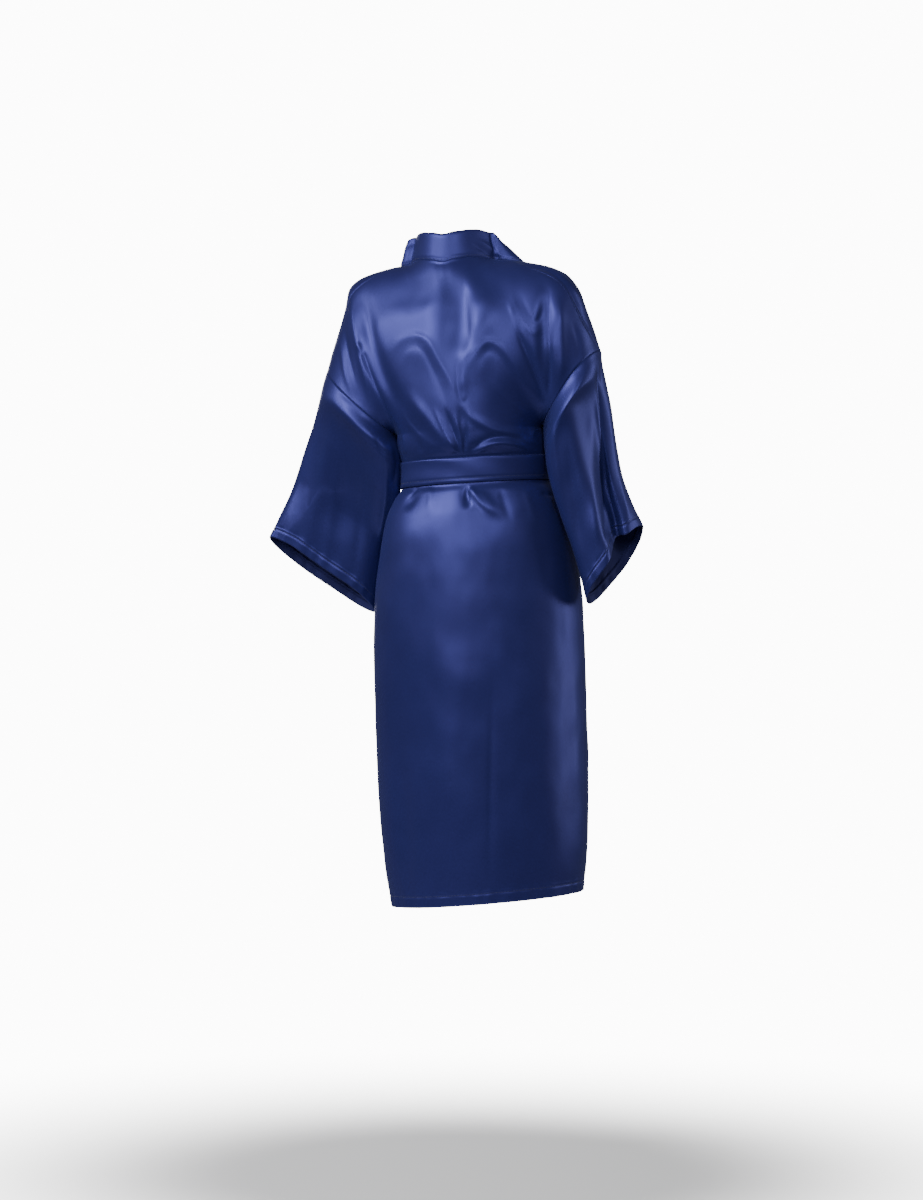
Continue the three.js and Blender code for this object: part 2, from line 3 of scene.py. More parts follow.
import bmesh
import bpy
import numpy as np
from bpy.props import FloatProperty, FloatVectorProperty, PointerProperty
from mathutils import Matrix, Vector, noise


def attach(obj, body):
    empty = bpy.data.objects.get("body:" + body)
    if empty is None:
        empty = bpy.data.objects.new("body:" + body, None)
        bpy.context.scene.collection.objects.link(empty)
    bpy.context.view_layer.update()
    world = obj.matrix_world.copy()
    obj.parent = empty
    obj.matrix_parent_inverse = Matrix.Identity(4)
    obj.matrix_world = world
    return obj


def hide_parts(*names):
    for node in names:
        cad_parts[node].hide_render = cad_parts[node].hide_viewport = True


bl_info = {
    "name": "Satin kimono robe",
    "version": (1, 0, 0),
    "blender": (4, 5, 0),
    "location": "View3D > Sidebar > Robe",
    "description": "Makes the satin robe's cloth pieces, its belt and a small photo studio",
    "category": "Object",
}

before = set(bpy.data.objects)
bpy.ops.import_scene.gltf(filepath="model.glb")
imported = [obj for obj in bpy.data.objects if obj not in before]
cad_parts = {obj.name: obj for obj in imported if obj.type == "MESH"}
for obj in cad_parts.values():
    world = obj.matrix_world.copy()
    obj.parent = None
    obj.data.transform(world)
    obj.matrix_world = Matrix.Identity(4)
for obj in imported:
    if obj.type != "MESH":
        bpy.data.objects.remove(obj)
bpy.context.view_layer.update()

# Sizes are in millimetres in the garment's own frame and turn into metres where a mesh is made.
METRE = 0.001
QUARTER = math.pi / 2


def table(columns, *rows):
    """Rows with named columns."""
    return [dict(zip(columns.split(), row)) for row in rows]


# Cloth and seams
CLOTH = 1.2
HEM_THICK = 1.9
SEAM_GAP = 0.3
SIDE_SEAM_HALF_GAP = 0.21
SIDE_SEAM_FROM_ROW = 0.98
ARMHOLE_GAP = 0.4
BAND_GAP = 0.6
BAND_THICK = 2.0
BAND_PROUD = 0.5
BELT_THICK = 2.0
BELT_CLEAR = 0.6
EDGE_ROUND = 0.9

# The crest of a shoulder from the middle of the neck (s 0) to the top of the armhole (s 1)
CREST = table(
    "s x z",
    (0.0, 0, 32), (0.04, 10, 31), (0.11, 28, 20), (0.16, 40, 9.5), (0.22, 54, 0),
    (0.35, 82, -3), (0.465, 107, -9), (0.535, 123, -15), (0.6, 136, -24), (0.67, 144, -39),
    (0.76, 151, -59), (0.845, 157, -79), (0.92, 163, -98), (1.0, 169, -118),
)
CREST_ROUNDING = 0.045
CREST_ROUNDS_BY = 0.3
CREST_STAYS_SHARP_FROM = 0.7
NECK_SHARE = 0.22
NECK_BACK_ANGLE = 0.55
SEAM_BACK_ANGLE = 0.3
SEAM_BACK_EASE = 0.7
UNDERARM_X, UNDERARM_Z = 88, -204
SHOULDER_TO_UNDERARM = 220
ARMHOLE_HALF_DEPTH = 50
# Level sections from the underarm to the hem
SECTIONS = table(
    "z half back front",
    (-204, 88, 82, 80), (-220, 90, 81, 77), (-230, 90, 78, 74), (-237, 90, 74, 71), (-267, 90, 74, 71),
    (-276, 97, 78, 75), (-305, 110, 87, 83), (-350, 118, 94, 90), (-415, 125, 97, 94), (-480, 127, 98, 95),
    (-590, 127, 98, 95), (-700, 123, 96, 94), (-762, 115, 93, 92),
)
# How the worn robe stands: sideways lean, drop of the left side for each unit of x, turn in degrees
STANCE = table(
    "z lean tilt turn",
    (40, 13, 0.03, 12), (0, 12, 0.03, 12), (-50, 1, 0.045, 12), (-110, 0, 0.05, 11), (-204, -9, 0.05, 4),
    (-252, -17, 0.055, 1), (-300, -17, 0.06, 0), (-520, -21, 0.07, 0), (-800, -31, 0.09, 0),
)
# Front edges: share of the half width where a front's cut edge lies, from the neck (w 0) to the hem (w 2)
FRONT_EDGES = {
    1: table(
        "w s",
        (0.0, 0.22), (0.05, 0.262), (0.1, 0.29), (0.16, 0.3), (0.25, 0.285), (0.4, 0.232), (0.55, 0.172),
        (0.75, 0.1), (0.92, 0.0), (1.05, -0.12), (1.2, -0.2), (2.0, -0.24),
    ),
    -1: table(
        "w s",
        (0.0, 0.22), (0.05, 0.275), (0.1, 0.335), (0.15, 0.375), (0.22, 0.385), (0.31, 0.355),
        (0.44, 0.272), (0.57, 0.19), (0.75, 0.1), (0.92, 0.0), (1.05, -0.12), (1.2, -0.2), (2.0, -0.24),
    ),
}
# How far the lapped fronts lie out and in, and the shares and rows over which they get there
LAP_OVER, LAP_UNDER = 3.5, -1.5
LAP_START_SHARE, LAP_SHARES = 0.92, 0.4
LAP_START_ROW, LAP_ROWS = 0.2, 0.4
# Neckband
BAND_WIDTH = 33
BAND_LEAN_BACK = np.array([0, -0.16, 0.99])
BAND_LEAN_SIDE = np.array([-0.2, -0.08, 0.97])
BAND_LEANS_OPEN = {1: np.array([-0.3, -0.1, 0.95]), -1: np.array([-0.7, -0.14, 0.7])}
BAND_OPENS_BY = 0.15
BAND_LIES = {1: (0.05, 0.6), -1: (0.1, 0.75)}
# Belt, its knot and its ends
BELT_Z, BELT_WIDTH, BELT_FRONT_RISE = -252, 29, 6
BELT_RISE_EASE, BELT_RISE_START = 1.6, 0.3
BELT_HEM = 5.0
BELT_STEPS = 19
PINCHED_AT_KNOT = 0.72
GATHERS_TURN, GATHERS_FROM, GATHERS_OVER = 0.08, 0.94, 0.05
BELT_PLEATS, BELT_WAVES = 6, 0.8
KNOT_X, KNOT_HALF_WIDTH, KNOT_HALF_HEIGHT, KNOT_HALF_DEPTH = -8, 18, 21, 9
KNOT_CORNERS = 0.72
KNOT_GATHERS, KNOT_GATHER_HEIGHT, KNOT_GATHER_SLANT, KNOT_PINCH = 9, 0.055, 0.28, 0.14
KNOT_GATHERS_OUT, KNOT_GATHERS_UP, KNOT_GATHERS_BEHIND = 2.2, 0.3, 0.3
KNOT_CLOTH = 0.02
TAIL_WIDTH = 28.42
TAIL_SEAM = 4
TAIL_SWAY = 1.3
TAIL_GATHERED, TAIL_GATHERED_BY = 0.38, 0.22
TAIL_PLEATS, TAIL_PLEAT_DEPTH, TAIL_PLEATS_BY = 4, 1.3, 0.3
TAIL_SWING, TAIL_SWINGS_BY, TAIL_BOW = 1.4, 0.2, 2
TAIL_END_SEAM, TAIL_END_GROOVE, TAIL_END_GROOVE_WIDTH = 6, 0.5, 1.4
TAILS = table(
    "name start end top bottom wave proud",
    ("belt_tail_left", 4, 40, -273.2, -572, 3, 10.5),
    ("belt_tail_right", -20, -52, -273.2, -548, -4, 13.5),
)
# Sleeves from near the armhole (t) to the cuff (1)
SLEEVE_COLUMNS = "t outX outY outZ inX inY inZ half"
SLEEVES = {
    "left": table(
        SLEEVE_COLUMNS,
        (0.15, 173, -32, -157, 72, 14, -238, 44),
        (0.4, 190, -34, -205, 77, -6, -290, 36),
        (0.7, 212, -38, -268, 99, -45, -354, 27),
        (1.0, 241, -41, -329, 112, -46, -419, 20),
    ),
    "right": table(
        SLEEVE_COLUMNS,
        (0.12, -171, 28, -135, -101, 37, -225, 45),
        (0.4, -180, 20, -194, -113, 46, -283, 38),
        (0.7, -191, 8, -256, -135, 46, -345, 33),
        (1.0, -216, -2, -319, -152, 48, -407, 30),
    ),
}
# The body's largest folds: ridges (depth over 0) and troughs along a line of the back (1) or the front (-1)
FOLDS = table(
    "face x0 z0 x1 z1 wide depth",
    (1, 112, -40, 62, -200, 10, -5),
    (1, 130, -50, 80, -190, 11, 3),
    (1, -8, -20, -14, -130, 16, -4),
    (1, 40, -40, 24, -130, 26, 4),
    (1, -44, -40, -34, -140, 18, 4),
    (1, -118, -40, -112, -175, 7, -5),
    (1, -132, -60, -124, -160, 10, 3),
    (1, -86, -78, -106, -172, 8, -3),
    (1, 50, -165, 10, -234, 8, 4),
    (1, -10, -180, 3, -236, 6, -3),
    (1, -22, -228, -84, -222, 8, 3),
    (1, 6, -264, 3, -296, 5, -4),
    (1, 0, -272, -34, -308, 7, 3),
    (1, 62, -266, 80, -292, 6, -4),
    (1, 84, -480, 92, -750, 24, -4),
    (1, 24, -460, 20, -750, 28, 3),
    (1, -70, -480, -66, -750, 26, 3),
    (-1, 70, -90, 44, -215, 10, -4),
    (-1, -64, -80, -46, -215, 11, 4),
    (-1, 30, -266, 46, -360, 10, -4),
    (-1, -58, -266, -66, -380, 12, 4),
    (-1, 66, -400, 72, -740, 24, -5),
    (-1, -90, -420, -84, -740, 22, 5),
)
FOLD_TAPER = 0.2
FOLD_FADES = 0.5
FOLD_SOFTNESS = 0.65
FOLDS_START_ROW = 0.15
FOLDS_END_POWER = 10
BELT_HOLDS_TOP, BELT_HOLDS_BOTTOM, BELT_HOLDS_FADE = -234, -270, 14
BELT_FREES_BY = 7
# The sleeves' folds, by angle round the tube; slide moves the cloth to the outer edge and drop moves it down
SLEEVE_FOLD_COLUMNS = "turn bend t0 t1 wide depth slide drop"
SLEEVE_FOLDS = {
    "left": table(
        SLEEVE_FOLD_COLUMNS,
        (0.9, 0, 0.05, 1.1, 0.3, 4, 0, 0), (1.5, 0, 0.1, 1.1, 0.35, -4, 0, 0),
        (2.2, 0, 0.2, 1.1, 0.3, 4, 0, 0), (4.5, 0, 0.1, 1.1, 0.4, -5, 0, 0),
    ),
    "right": table(
        SLEEVE_FOLD_COLUMNS,
        (0.85, 0.6, -0.1, 1.4, 0.27, -13, 0, -20), (1.35, 0.6, 0.1, 1.3, 0.4, 7, 10, 9),
        (4.4, 0, 0.1, 1.1, 0.4, -6, 0, 0),
    ),
}
CUFF_SHAPE_FROM = 0.35
SLEEVE_FITS_BY, SLEEVE_FIT_EASE = 0.4, 1.5
SLEEVE_FOLDS_BY = 0.2
# Soft unevenness: the waves' sizes, where their pattern starts and the share of the fine ones
CRUMPLE_WIDE, CRUMPLE_WIDE_START = 46, 7.3
CRUMPLE_FINE, CRUMPLE_FINE_START = np.array([17, 17, 30]), 31.7
CRUMPLE_FINE_SHARE = 0.35
CRUMPLE_ON_STIFF_CLOTH = 0.5
# Creases show on cloth that faces the viewer: the slope where they start and how soon they are full
FACING_FROM, FACING_OVER = -0.05, 0.3
# Points inside the garment, which tell which way is out
AXIS_TOP, AXIS_BELOW = -40, 20
# Grids of the cloth: counts of rows and columns
YOKE_ROWS = 101
NECK_COLUMNS, SHOULDER_COLUMNS, FRONT_COLUMNS = 27, 69, 92
SLEEVE_RINGS, CUFF_RINGS, CUFF_RINGS_FROM, SLEEVE_SIDES = 88, 25, 0.9, 216
BAND_COLUMNS, BAND_NECK_ROWS = 17, 61
BELT_SIDES, TAIL_ROWS = 320, 120
KNOT_RINGS, KNOT_SIDES = 96, 128
# Steps over which slopes are measured on the cloth
SLOPE_STEP = 0.004
EDGE_STEP = 0.01
BAND_SHARE_STEP, BAND_ROW_STEP = 0.05, 0.02
# Turned hems: how far past the hem its line is sewn, the groove and the puckers
SEWN_INSIDE = 2.2
HEM_STEP, HEM_STEP_PAST, HEM_STEP_WIDTH = 0.45, 1.0, 1.6
HEM_GROOVE, HEM_GROOVE_WIDTH = 0.75, 1.1
PUCKER_HEIGHT, PUCKERS_PAST, PUCKER_REACH = 0.28, 6, 8
# Where creases end: beside the side seams, the front edges, the shoulder seams and the armholes
CREASES_END_POWER, CREASES_END_SHARE, CREASES_START_ROW = 14, 0.06, 0.03
# Sewn lines of the neckband and the belt
BAND_SEWN_AT = 2.4
BAND_GROOVE, BAND_GROOVE_WIDTH = 0.5, 1.0
BELT_GROOVE, BELT_GROOVE_WIDTH = 0.45, 0.9
EDGE_ROLL, EDGE_SHARE = 0.3, 0.1
BAND_EDGE_ROLL, BAND_EDGE_SHARE = 0.35, 0.12

# A stitch as rings along its length: their place, width and height
STITCH_SIDES = 6
STITCH_SHAPE = table(
    "at wide high", (-0.5, 0.35, -0.3), (-0.34, 0.95, 0.25), (0.34, 0.95, 0.25), (0.5, 0.35, -0.3)
)
# Satin beside its weave
WRONG_SIDE_SHADE = 0.55
BAND_ROUGHER = 0.02
SATIN_SHEEN = {
    "Specular IOR Level": 0.25,
    "Anisotropic": 0.45,
    "Sheen Weight": 0.06,
    "Sheen Roughness": 0.5,
    "Sheen Tint": (0.35, 0.45, 1, 1),
}

# The photograph's camera and scale
PHOTO_SIZE = (923, 1200)
CAMERA_TURN = math.radians(6)
CAMERA_FAR = 4000
CAMERA_Z = -405.6
PHOTO_SCALE = 1.2
PHOTO_AXIS_X, PHOTO_ORIGIN_Y = 463, 262
FLOOR_Z = -1092

# Creases seen from behind, by the photograph's pixels; those with a depth over 0 are ridges
# Right and left are the widths on the two sides of the line for someone who walks along it
# Sharp is the exponent of the profile; start and end are the shares of the length over which the crease fades
CREASE_COLUMNS = "depth right left sharp start end line"
CREASE_REACH = 3.2
CREASES = {
    "back_panel": table(
        CREASE_COLUMNS,
        # Upper back: two broad blades with a valley between them
        (-4.0, 21, 8, 2, 0.5, 0.4, [(461, 268), (463, 300), (465, 340), (462, 364)]),
        (1.5, 26, 22, 2, 0.4, 0.4, [(408, 262), (404, 300), (408, 336)]),
        (1.2, 14, 12, 2, 0.4, 0.4, [(487, 276), (484, 312), (478, 350)]),
        # Soft arches that hang from the shoulders
        (0.95, 6, 4, 1.6, 0.35, 0.3, [(391, 356), (399, 342), (412, 335), (427, 340), (439, 360),
            (451, 382), (458, 402)]),
        (-0.7, 4, 7, 1.7, 0.4, 0.3, [(398, 368), (404, 352), (413, 346), (423, 351), (433, 370),
            (443, 394), (450, 416)]),
        (1.0, 6, 6, 1.8, 0.4, 0.2, [(470, 330), (466, 352), (463, 376), (463, 394)]),
        (-0.8, 3, 5, 1.6, 0.4, 0.3, [(459, 352), (457, 376), (459, 396), (464, 402), (470, 392)]),
        (1.1, 6, 4, 1.6, 0.3, 0.2, [(467, 373), (474, 354), (486, 342), (499, 345), (512, 361),
            (524, 381), (541, 401)]),
        (-0.75, 4, 7, 1.7, 0.4, 0.3, [(474, 380), (480, 360), (489, 351), (498, 356), (508, 371),
            (522, 393), (541, 417)]),
        (0.8, 5, 5, 1.8, 0.4, 0.3, [(486, 372), (500, 392), (520, 410), (544, 428)]),
        # Folds beside the right armhole
        (-2.6, 2.6, 5, 1.3, 0.3, 0.15, [(549, 284), (548, 318), (549, 352), (548, 401)]),
        (2.6, 5, 7, 1.7, 0.3, 0.3, [(558, 292), (561, 330), (562, 366), (557, 392)]),
        (-1.2, 3, 3, 1.6, 0.4, 0.3, [(571, 318), (579, 345), (577, 368)]),
        (-2.6, 3, 5, 1.35, 0.35, 0.15, [(515, 318), (522, 342), (534, 372), (546, 406)]),
        (1.3, 3, 5, 1.7, 0.4, 0.4, [(507, 296), (516, 322), (529, 352)]),
        (-0.7, 3, 3, 1.6, 0.4, 0.4, [(519, 290), (525, 306), (535, 322), (542, 310), (541, 292)]),
        (0.6, 4, 3, 1.6, 0.4, 0.4, [(510, 286), (517, 308), (533, 333), (547, 320)]),
        # The deep fold beside the left armhole
        (-2.0, 3, 4, 1.4, 0.3, 0.2, [(356, 330), (364, 356), (376, 388), (390, 420), (400, 440)]),
        (1.4, 4, 3.5, 1.5, 0.3, 0.3, [(350, 286), (353, 318), (359, 352), (366, 384), (371, 412)]),
        (1.2, 3, 3, 1.5, 0.4, 0.4, [(338, 330), (344, 368), (353, 404)]),
        (-1.2, 2.5, 3, 1.5, 0.4, 0.4, [(343, 316), (348, 354), (358, 392)]),
        (1.5, 2, 3, 1.3, 0.2, 0.6, [(357, 342), (361, 350), (369, 356)]),
        # Gathers that run into the belt
        (2.0, 4.5, 4, 1.5, 0.35, 0.1, [(397, 398), (410, 424), (430, 441), (448, 451), (460, 459)]),
        (-1.6, 3, 4, 1.4, 0.4, 0.1, [(405, 412), (420, 433), (438, 446), (452, 455)]),
        (1.5, 3.5, 3.5, 1.5, 0.4, 0.1, [(432, 404), (441, 424), (450, 442), (459, 459)]),
        (-1.8, 3, 3, 1.4, 0.4, 0.1, [(443, 404), (450, 424), (457, 442), (461, 459)]),
        (-1.6, 2.4, 2.4, 1.4, 0.5, 0.1, [(466, 420), (465, 440), (463, 459)]),
        (1.3, 3, 3, 1.5, 0.4, 0.2, [(454, 410), (460, 436), (463, 456)]),
        (-1.9, 3.5, 4, 1.5, 0.1, 0.3, [(464, 459), (475, 447), (488, 439), (506, 436), (521, 441),
            (538, 449)]),
        (1.7, 2.5, 3, 1.6, 0.1, 0.4, [(470, 460), (479, 451), (496, 444), (517, 446), (537, 453)]),
        (1.9, 4, 6, 1.8, 0.4, 0.3, [(459, 402), (472, 417), (487, 427), (505, 433), (534, 434)]),
        (2.0, 2, 3, 1.2, 0.3, 0.3, [(530, 439), (536, 430), (543, 438), (550, 441)]),
        (-1.4, 2.5, 2.5, 1.4, 0.5, 0.1, [(417, 436), (420, 448), (424, 460)]),
        (1.2, 3, 3, 1.5, 0.5, 0.1, [(402, 420), (404, 440), (408, 459)]),
        (-1.2, 2.5, 3, 1.5, 0.5, 0.1, [(522, 452), (512, 454), (505, 459)]),
        # Below the belt
        (-2.0, 2.2, 3, 1.3, 0.05, 0.7, [(466, 485), (467, 494), (468, 508)]),
        (1.5, 4, 3, 1.6, 0.1, 0.6, [(470, 486), (478, 499), (488, 509), (499, 516)]),
        (-1.5, 2.5, 2.5, 1.4, 0.05, 0.6, [(420, 485), (413, 493), (405, 503)]),
        (1.2, 2.5, 2.5, 1.5, 0.3, 0.4, [(390, 497), (400, 489), (411, 486)]),
        (1.0, 4, 4, 1.8, 0.1, 0.6, [(430, 486), (430, 500), (426, 520)]),
        (-1.4, 2.2, 2.2, 1.4, 0.3, 0.3, [(540, 492), (549, 495), (560, 494)]),
        (-1.6, 2.5, 2.5, 1.5, 0.3, 0.5, [(555, 494), (556, 504), (558, 516)]),
        (-0.9, 5, 5, 1.9, 0.2, 0.6, [(500, 486), (505, 505), (514, 530)]),
        (0.8, 5, 6, 1.9, 0.2, 0.6, [(524, 486), (530, 505), (538, 530)]),
        # Skirt
        (-0.7, 4, 5, 1.8, 0.4, 0.3, [(493, 660), (491, 760), (489, 900)]),
        (-2.2, 16, 13, 2, 0.4, 0.2, [(394, 690), (401, 790), (409, 910)]),
        (1.2, 16, 16, 2, 0.4, 0.3, [(445, 640), (446, 760), (450, 900)]),
        (1.2, 12, 14, 2, 0.4, 0.3, [(545, 620), (548, 760), (552, 880)]),
        (-0.9, 8, 8, 2, 0.5, 0.3, [(566, 600), (570, 740), (572, 880)]),
    ),
    "sleeve_left": table(
        CREASE_COLUMNS,
        (1.4, 8, 8, 1.9, 0.3, 0.2, [(347, 400), (338, 470), (322, 580)]),
        (-1.5, 8, 8, 1.9, 0.3, 0.2, [(333, 388), (314, 470), (293, 560)]),
        (-1.3, 6, 7, 1.8, 0.4, 0.3, [(363, 428), (362, 500), (352, 596)]),
        (1.2, 5, 5, 1.8, 0.3, 0.4, [(325, 392), (305, 460), (284, 520)]),
        (2.0, 4, 5, 1.6, 0.3, 0.4, [(384, 440), (386, 490), (376, 560)]),
        (-1.7, 3, 3, 1.5, 0.3, 0.4, [(392, 444), (397, 462), (392, 492)]),
        (-1.3, 3, 3, 1.5, 0.3, 0.5, [(374, 436), (382, 452), (392, 462)]),
    ),
    "sleeve_right": table(
        CREASE_COLUMNS,
        (-3.2, 3, 4, 1.3, 0.15, 0.1, [(598, 358), (600, 400), (604, 470), (607, 545)]),
        (1.6, 6, 6, 1.8, 0.3, 0.2, [(589, 384), (592, 460), (597, 560)]),
        (1.8, 4, 5, 1.6, 0.3, 0.2, [(605, 384), (615, 460), (632, 532)]),
        (-1.0, 1.6, 1.6, 1.4, 0.2, 0.5, [(601, 360), (602, 374), (603, 390)]),
        (-1.0, 1.6, 1.6, 1.4, 0.2, 0.5, [(605, 364), (607, 378), (609, 394)]),
        (-1.2, 6, 6, 1.8, 0.4, 0.3, [(566, 420), (572, 480), (584, 560)]),
        (1.0, 4, 4, 1.7, 0.3, 0.4, [(552, 410), (556, 460), (566, 520)]),
    ),
    "neckband": table(
        CREASE_COLUMNS,
        (1.0, 2.5, 3, 1.4, 0.2, 0.3, [(401, 257), (407, 247), (419, 240)]),
        (-1.4, 2.2, 2.8, 1.3, 0.4, 0.1, [(468, 241), (484, 251), (499, 261)]),
        (1.0, 3, 2.5, 1.5, 0.4, 0.1, [(474, 238), (488, 246), (501, 256)]),
    ),
    "front_right_panel": table(
        CREASE_COLUMNS,
        (-1.8, 2.2, 3, 1.4, 0.2, 0.15, [(508, 261), (530, 266), (548, 271), (563, 284),
            (578, 307), (593, 344)]),
        (1.1, 3, 3, 1.6, 0.2, 0.3, [(530, 262), (556, 272), (576, 292), (590, 322)]),
    ),
}
# Creases seen from the front, by x and z
FRONT_CREASES = table(
    CREASE_COLUMNS,
    # Gathers that run into the belt from above
    (2.4, 4, 5, 1.5, 0.4, 0.05, [(78, -128), (60, -180), (30, -232)]),
    (-2.2, 3, 4, 1.4, 0.4, 0.05, [(62, -140), (42, -190), (16, -233)]),
    (1.8, 4, 4, 1.6, 0.4, 0.05, [(92, -160), (76, -200), (58, -233)]),
    (-2.0, 3, 3, 1.4, 0.4, 0.05, [(-70, -120), (-58, -176), (-40, -232)]),
    (2.4, 4, 5, 1.6, 0.4, 0.05, [(-54, -126), (-42, -180), (-24, -232)]),
    (-1.6, 4, 4, 1.6, 0.4, 0.05, [(-92, -150), (-84, -196), (-72, -232)]),
    (1.4, 3, 3, 1.5, 0.5, 0.05, [(-6, -188), (-8, -212), (-12, -234)]),
    # Drag lines from the shoulders
    (-2.0, 5, 6, 1.7, 0.3, 0.4, [(104, -34), (96, -76), (90, -130)]),
    (1.8, 5, 6, 1.8, 0.3, 0.4, [(88, -22), (78, -66), (70, -112)]),
    (-1.8, 5, 5, 1.7, 0.3, 0.4, [(-100, -30), (-98, -80), (-88, -136)]),
    (2.2, 6, 5, 1.8, 0.3, 0.4, [(-82, -18), (-80, -66), (-72, -110)]),
    # Gathers that open below the belt
    (-2.8, 3, 3, 1.4, 0.05, 0.6, [(28, -270), (33, -300), (40, -350)]),
    (2.2, 4, 4, 1.6, 0.05, 0.6, [(38, -270), (46, -304), (56, -352)]),
    (-2.2, 3, 3, 1.4, 0.05, 0.6, [(62, -272), (70, -296), (80, -330)]),
    (-2.6, 3, 3, 1.4, 0.05, 0.6, [(-44, -270), (-48, -306), (-56, -362)]),
    (2.0, 4, 4, 1.7, 0.05, 0.6, [(-56, -270), (-63, -300), (-70, -340)]),
    (-1.8, 3, 3, 1.5, 0.05, 0.6, [(-76, -272), (-84, -294), (-94, -322)]),
    (1.6, 5, 5, 1.8, 0.05, 0.6, [(8, -272), (8, -310), (4, -370)]),
    # Long soft folds of the skirt
    (-2.6, 10, 12, 2, 0.4, 0.2, [(30, -430), (34, -560), (32, -756)]),
    (2.0, 10, 10, 2, 0.4, 0.2, [(-2, -420), (-6, -580), (-10, -756)]),
    (-2.0, 12, 10, 2, 0.4, 0.2, [(-62, -440), (-66, -600), (-70, -756)]),
    (1.8, 9, 12, 2, 0.4, 0.2, [(92, -420), (88, -590), (78, -756)]),
)


def mix(a, b, t):
    return a + (b - a) * t


def smooth(t):
    t = np.clip(t, 0, 1)
    return t * t * (3 - 2 * t)


def unit(v):
    return v / np.maximum(np.linalg.norm(v, axis=-1, keepdims=True), 1e-12)


def dot(a, b):
    return np.sum(a * b, axis=-1)


def stack(*columns):
    return np.stack(np.broadcast_arrays(*columns), axis=-1).astype(float)


def through(rows, key, column):
    """A smooth curve through one column of a table that doesn't overshoot between rows."""
    xs = np.array([row[key] for row in rows], float)
    ys = np.array([row[column] for row in rows], float)
    if xs[0] > xs[-1]:
        xs, ys = xs[::-1], ys[::-1]
    step = np.diff(xs)
    rise = np.diff(ys) / step
    a = 2 * step[1:] + step[:-1]
    b = step[1:] + 2 * step[:-1]
    agrees = rise[:-1] * rise[1:] > 0
    first = np.where(agrees, rise[:-1], 1)
    second = np.where(agrees, rise[1:], 1)
    inner = np.where(agrees, (a + b) / (a / first + b / second), 0)
    slope = np.concatenate([rise[:1], inner, rise[-1:]])

    def value(x):
        i = np.clip(np.searchsorted(xs, x, side="right") - 1, 0, len(step) - 1)
        t = np.clip((x - xs[i]) / step[i], 0, 1)
        tangents = t * (1 - t) ** 2 * step[i] * slope[i] + t * t * (t - 1) * step[i] * slope[i + 1]
        return mix(ys[i], ys[i + 1], t * t * (3 - 2 * t)) + tangents

    return value


crest_x = through(CREST, "s", "x")
crest_z = through(CREST, "s", "z")
front_edge = {side: through(rows, "w", "s") for side, rows in FRONT_EDGES.items()}
section_half = through(SECTIONS, "z", "half")
section_depth = {1: through(SECTIONS, "z", "back"), -1: through(SECTIONS, "z", "front")}
lean = through(STANCE, "z", "lean")
tilt = through(STANCE, "z", "tilt")
turn = through(STANCE, "z", "turn")
HEM_Z = SECTIONS[-1]["z"]


def row_at(z):
    return 1 + (z - UNDERARM_Z) / (HEM_Z - UNDERARM_Z)


def stand(p):
    """Moves points of the straight garment to where the worn one has them."""
    x, y, z = p[..., 0], p[..., 1], p[..., 2]
    angle = -np.radians(turn(z))
    cos, sin = np.cos(angle), np.sin(angle)
    return stack(x * cos - y * sin + lean(z), x * sin + y * cos, z - tilt(z) * x)


def crest_height(s, soft):
    """The crest's height; where soft is 1, its corners at the middle and beside the neck are rounded off."""
    share = np.abs(s)
    sharp = crest_z(share)
    offsets = np.linspace(-2, 2, 9)
    weights = np.exp(-(offsets**2) / 2)
    nearby = (crest_z(np.clip(np.abs(s + offset * CREST_ROUNDING), 0, 1)) for offset in offsets)
    rounded = sum(weight * height for weight, height in zip(weights, nearby))
    return mix(sharp, rounded / weights.sum(), soft * smooth((1 - share) / (1 - CREST_STAYS_SHARP_FROM)))


def yoke(s, angle, soft=0.0):
    """The robe above the underarm: s goes from the middle to the armhole, angle from the crest down."""
    s, angle = np.broadcast_arrays(np.asarray(s, float), np.asarray(angle, float))
    share = np.abs(s)
    sign = np.where(s < 0, -1, 1)
    sine = np.sin(angle)
    depth = np.where(angle >= 0, section_depth[1](UNDERARM_Z), section_depth[-1](UNDERARM_Z))
    around = np.cos(QUARTER * share)
    drop = mix(1 - np.cos(angle), sine * sine, share * share)
    return stack(
        sign * mix(crest_x(share), UNDERARM_X * np.sin(QUARTER * share), sine * sine),
        depth * sine * around + ARMHOLE_HALF_DEPTH * np.sin(2 * angle) * (1 - around),
        mix(crest_height(s, soft), UNDERARM_Z, drop),
    )


def start_angle(s, face):
    """The angle at which a panel leaves the neckline and the shoulder seam."""
    share = np.abs(s)
    in_neck = NECK_BACK_ANGLE * np.clip(1 - (share / NECK_SHARE) ** 2, 0, 1) if face > 0 else 0 * share
    along = np.clip((share - NECK_SHARE) / (1 - NECK_SHARE), 0, 1)
    on_seam = SEAM_BACK_ANGLE * np.clip(np.sin(math.pi * along), 0, 1) ** SEAM_BACK_EASE
    return np.where(share < NECK_SHARE, in_neck, on_seam)


def plain_body(s, w, face):
    """The plain body: w is 0 at the neckline or shoulder seam, 1 at the underarm and 2 at the hem."""
    s, w = np.broadcast_arrays(np.asarray(s, float), np.asarray(w, float))
    angle = mix(start_angle(s, face), face * QUARTER, np.clip(w, 0, 1))
    upper = yoke(s, angle, smooth(w / CREST_ROUNDS_BY) * (face > 0))
    z = mix(UNDERARM_Z, HEM_Z, np.clip(w - 1, 0, 1))
    around = QUARTER * s
    lower = stack(section_half(z) * np.sin(around), face * section_depth[face](z) * np.cos(around), z)
    return np.where((w <= 1)[..., None], upper, lower)


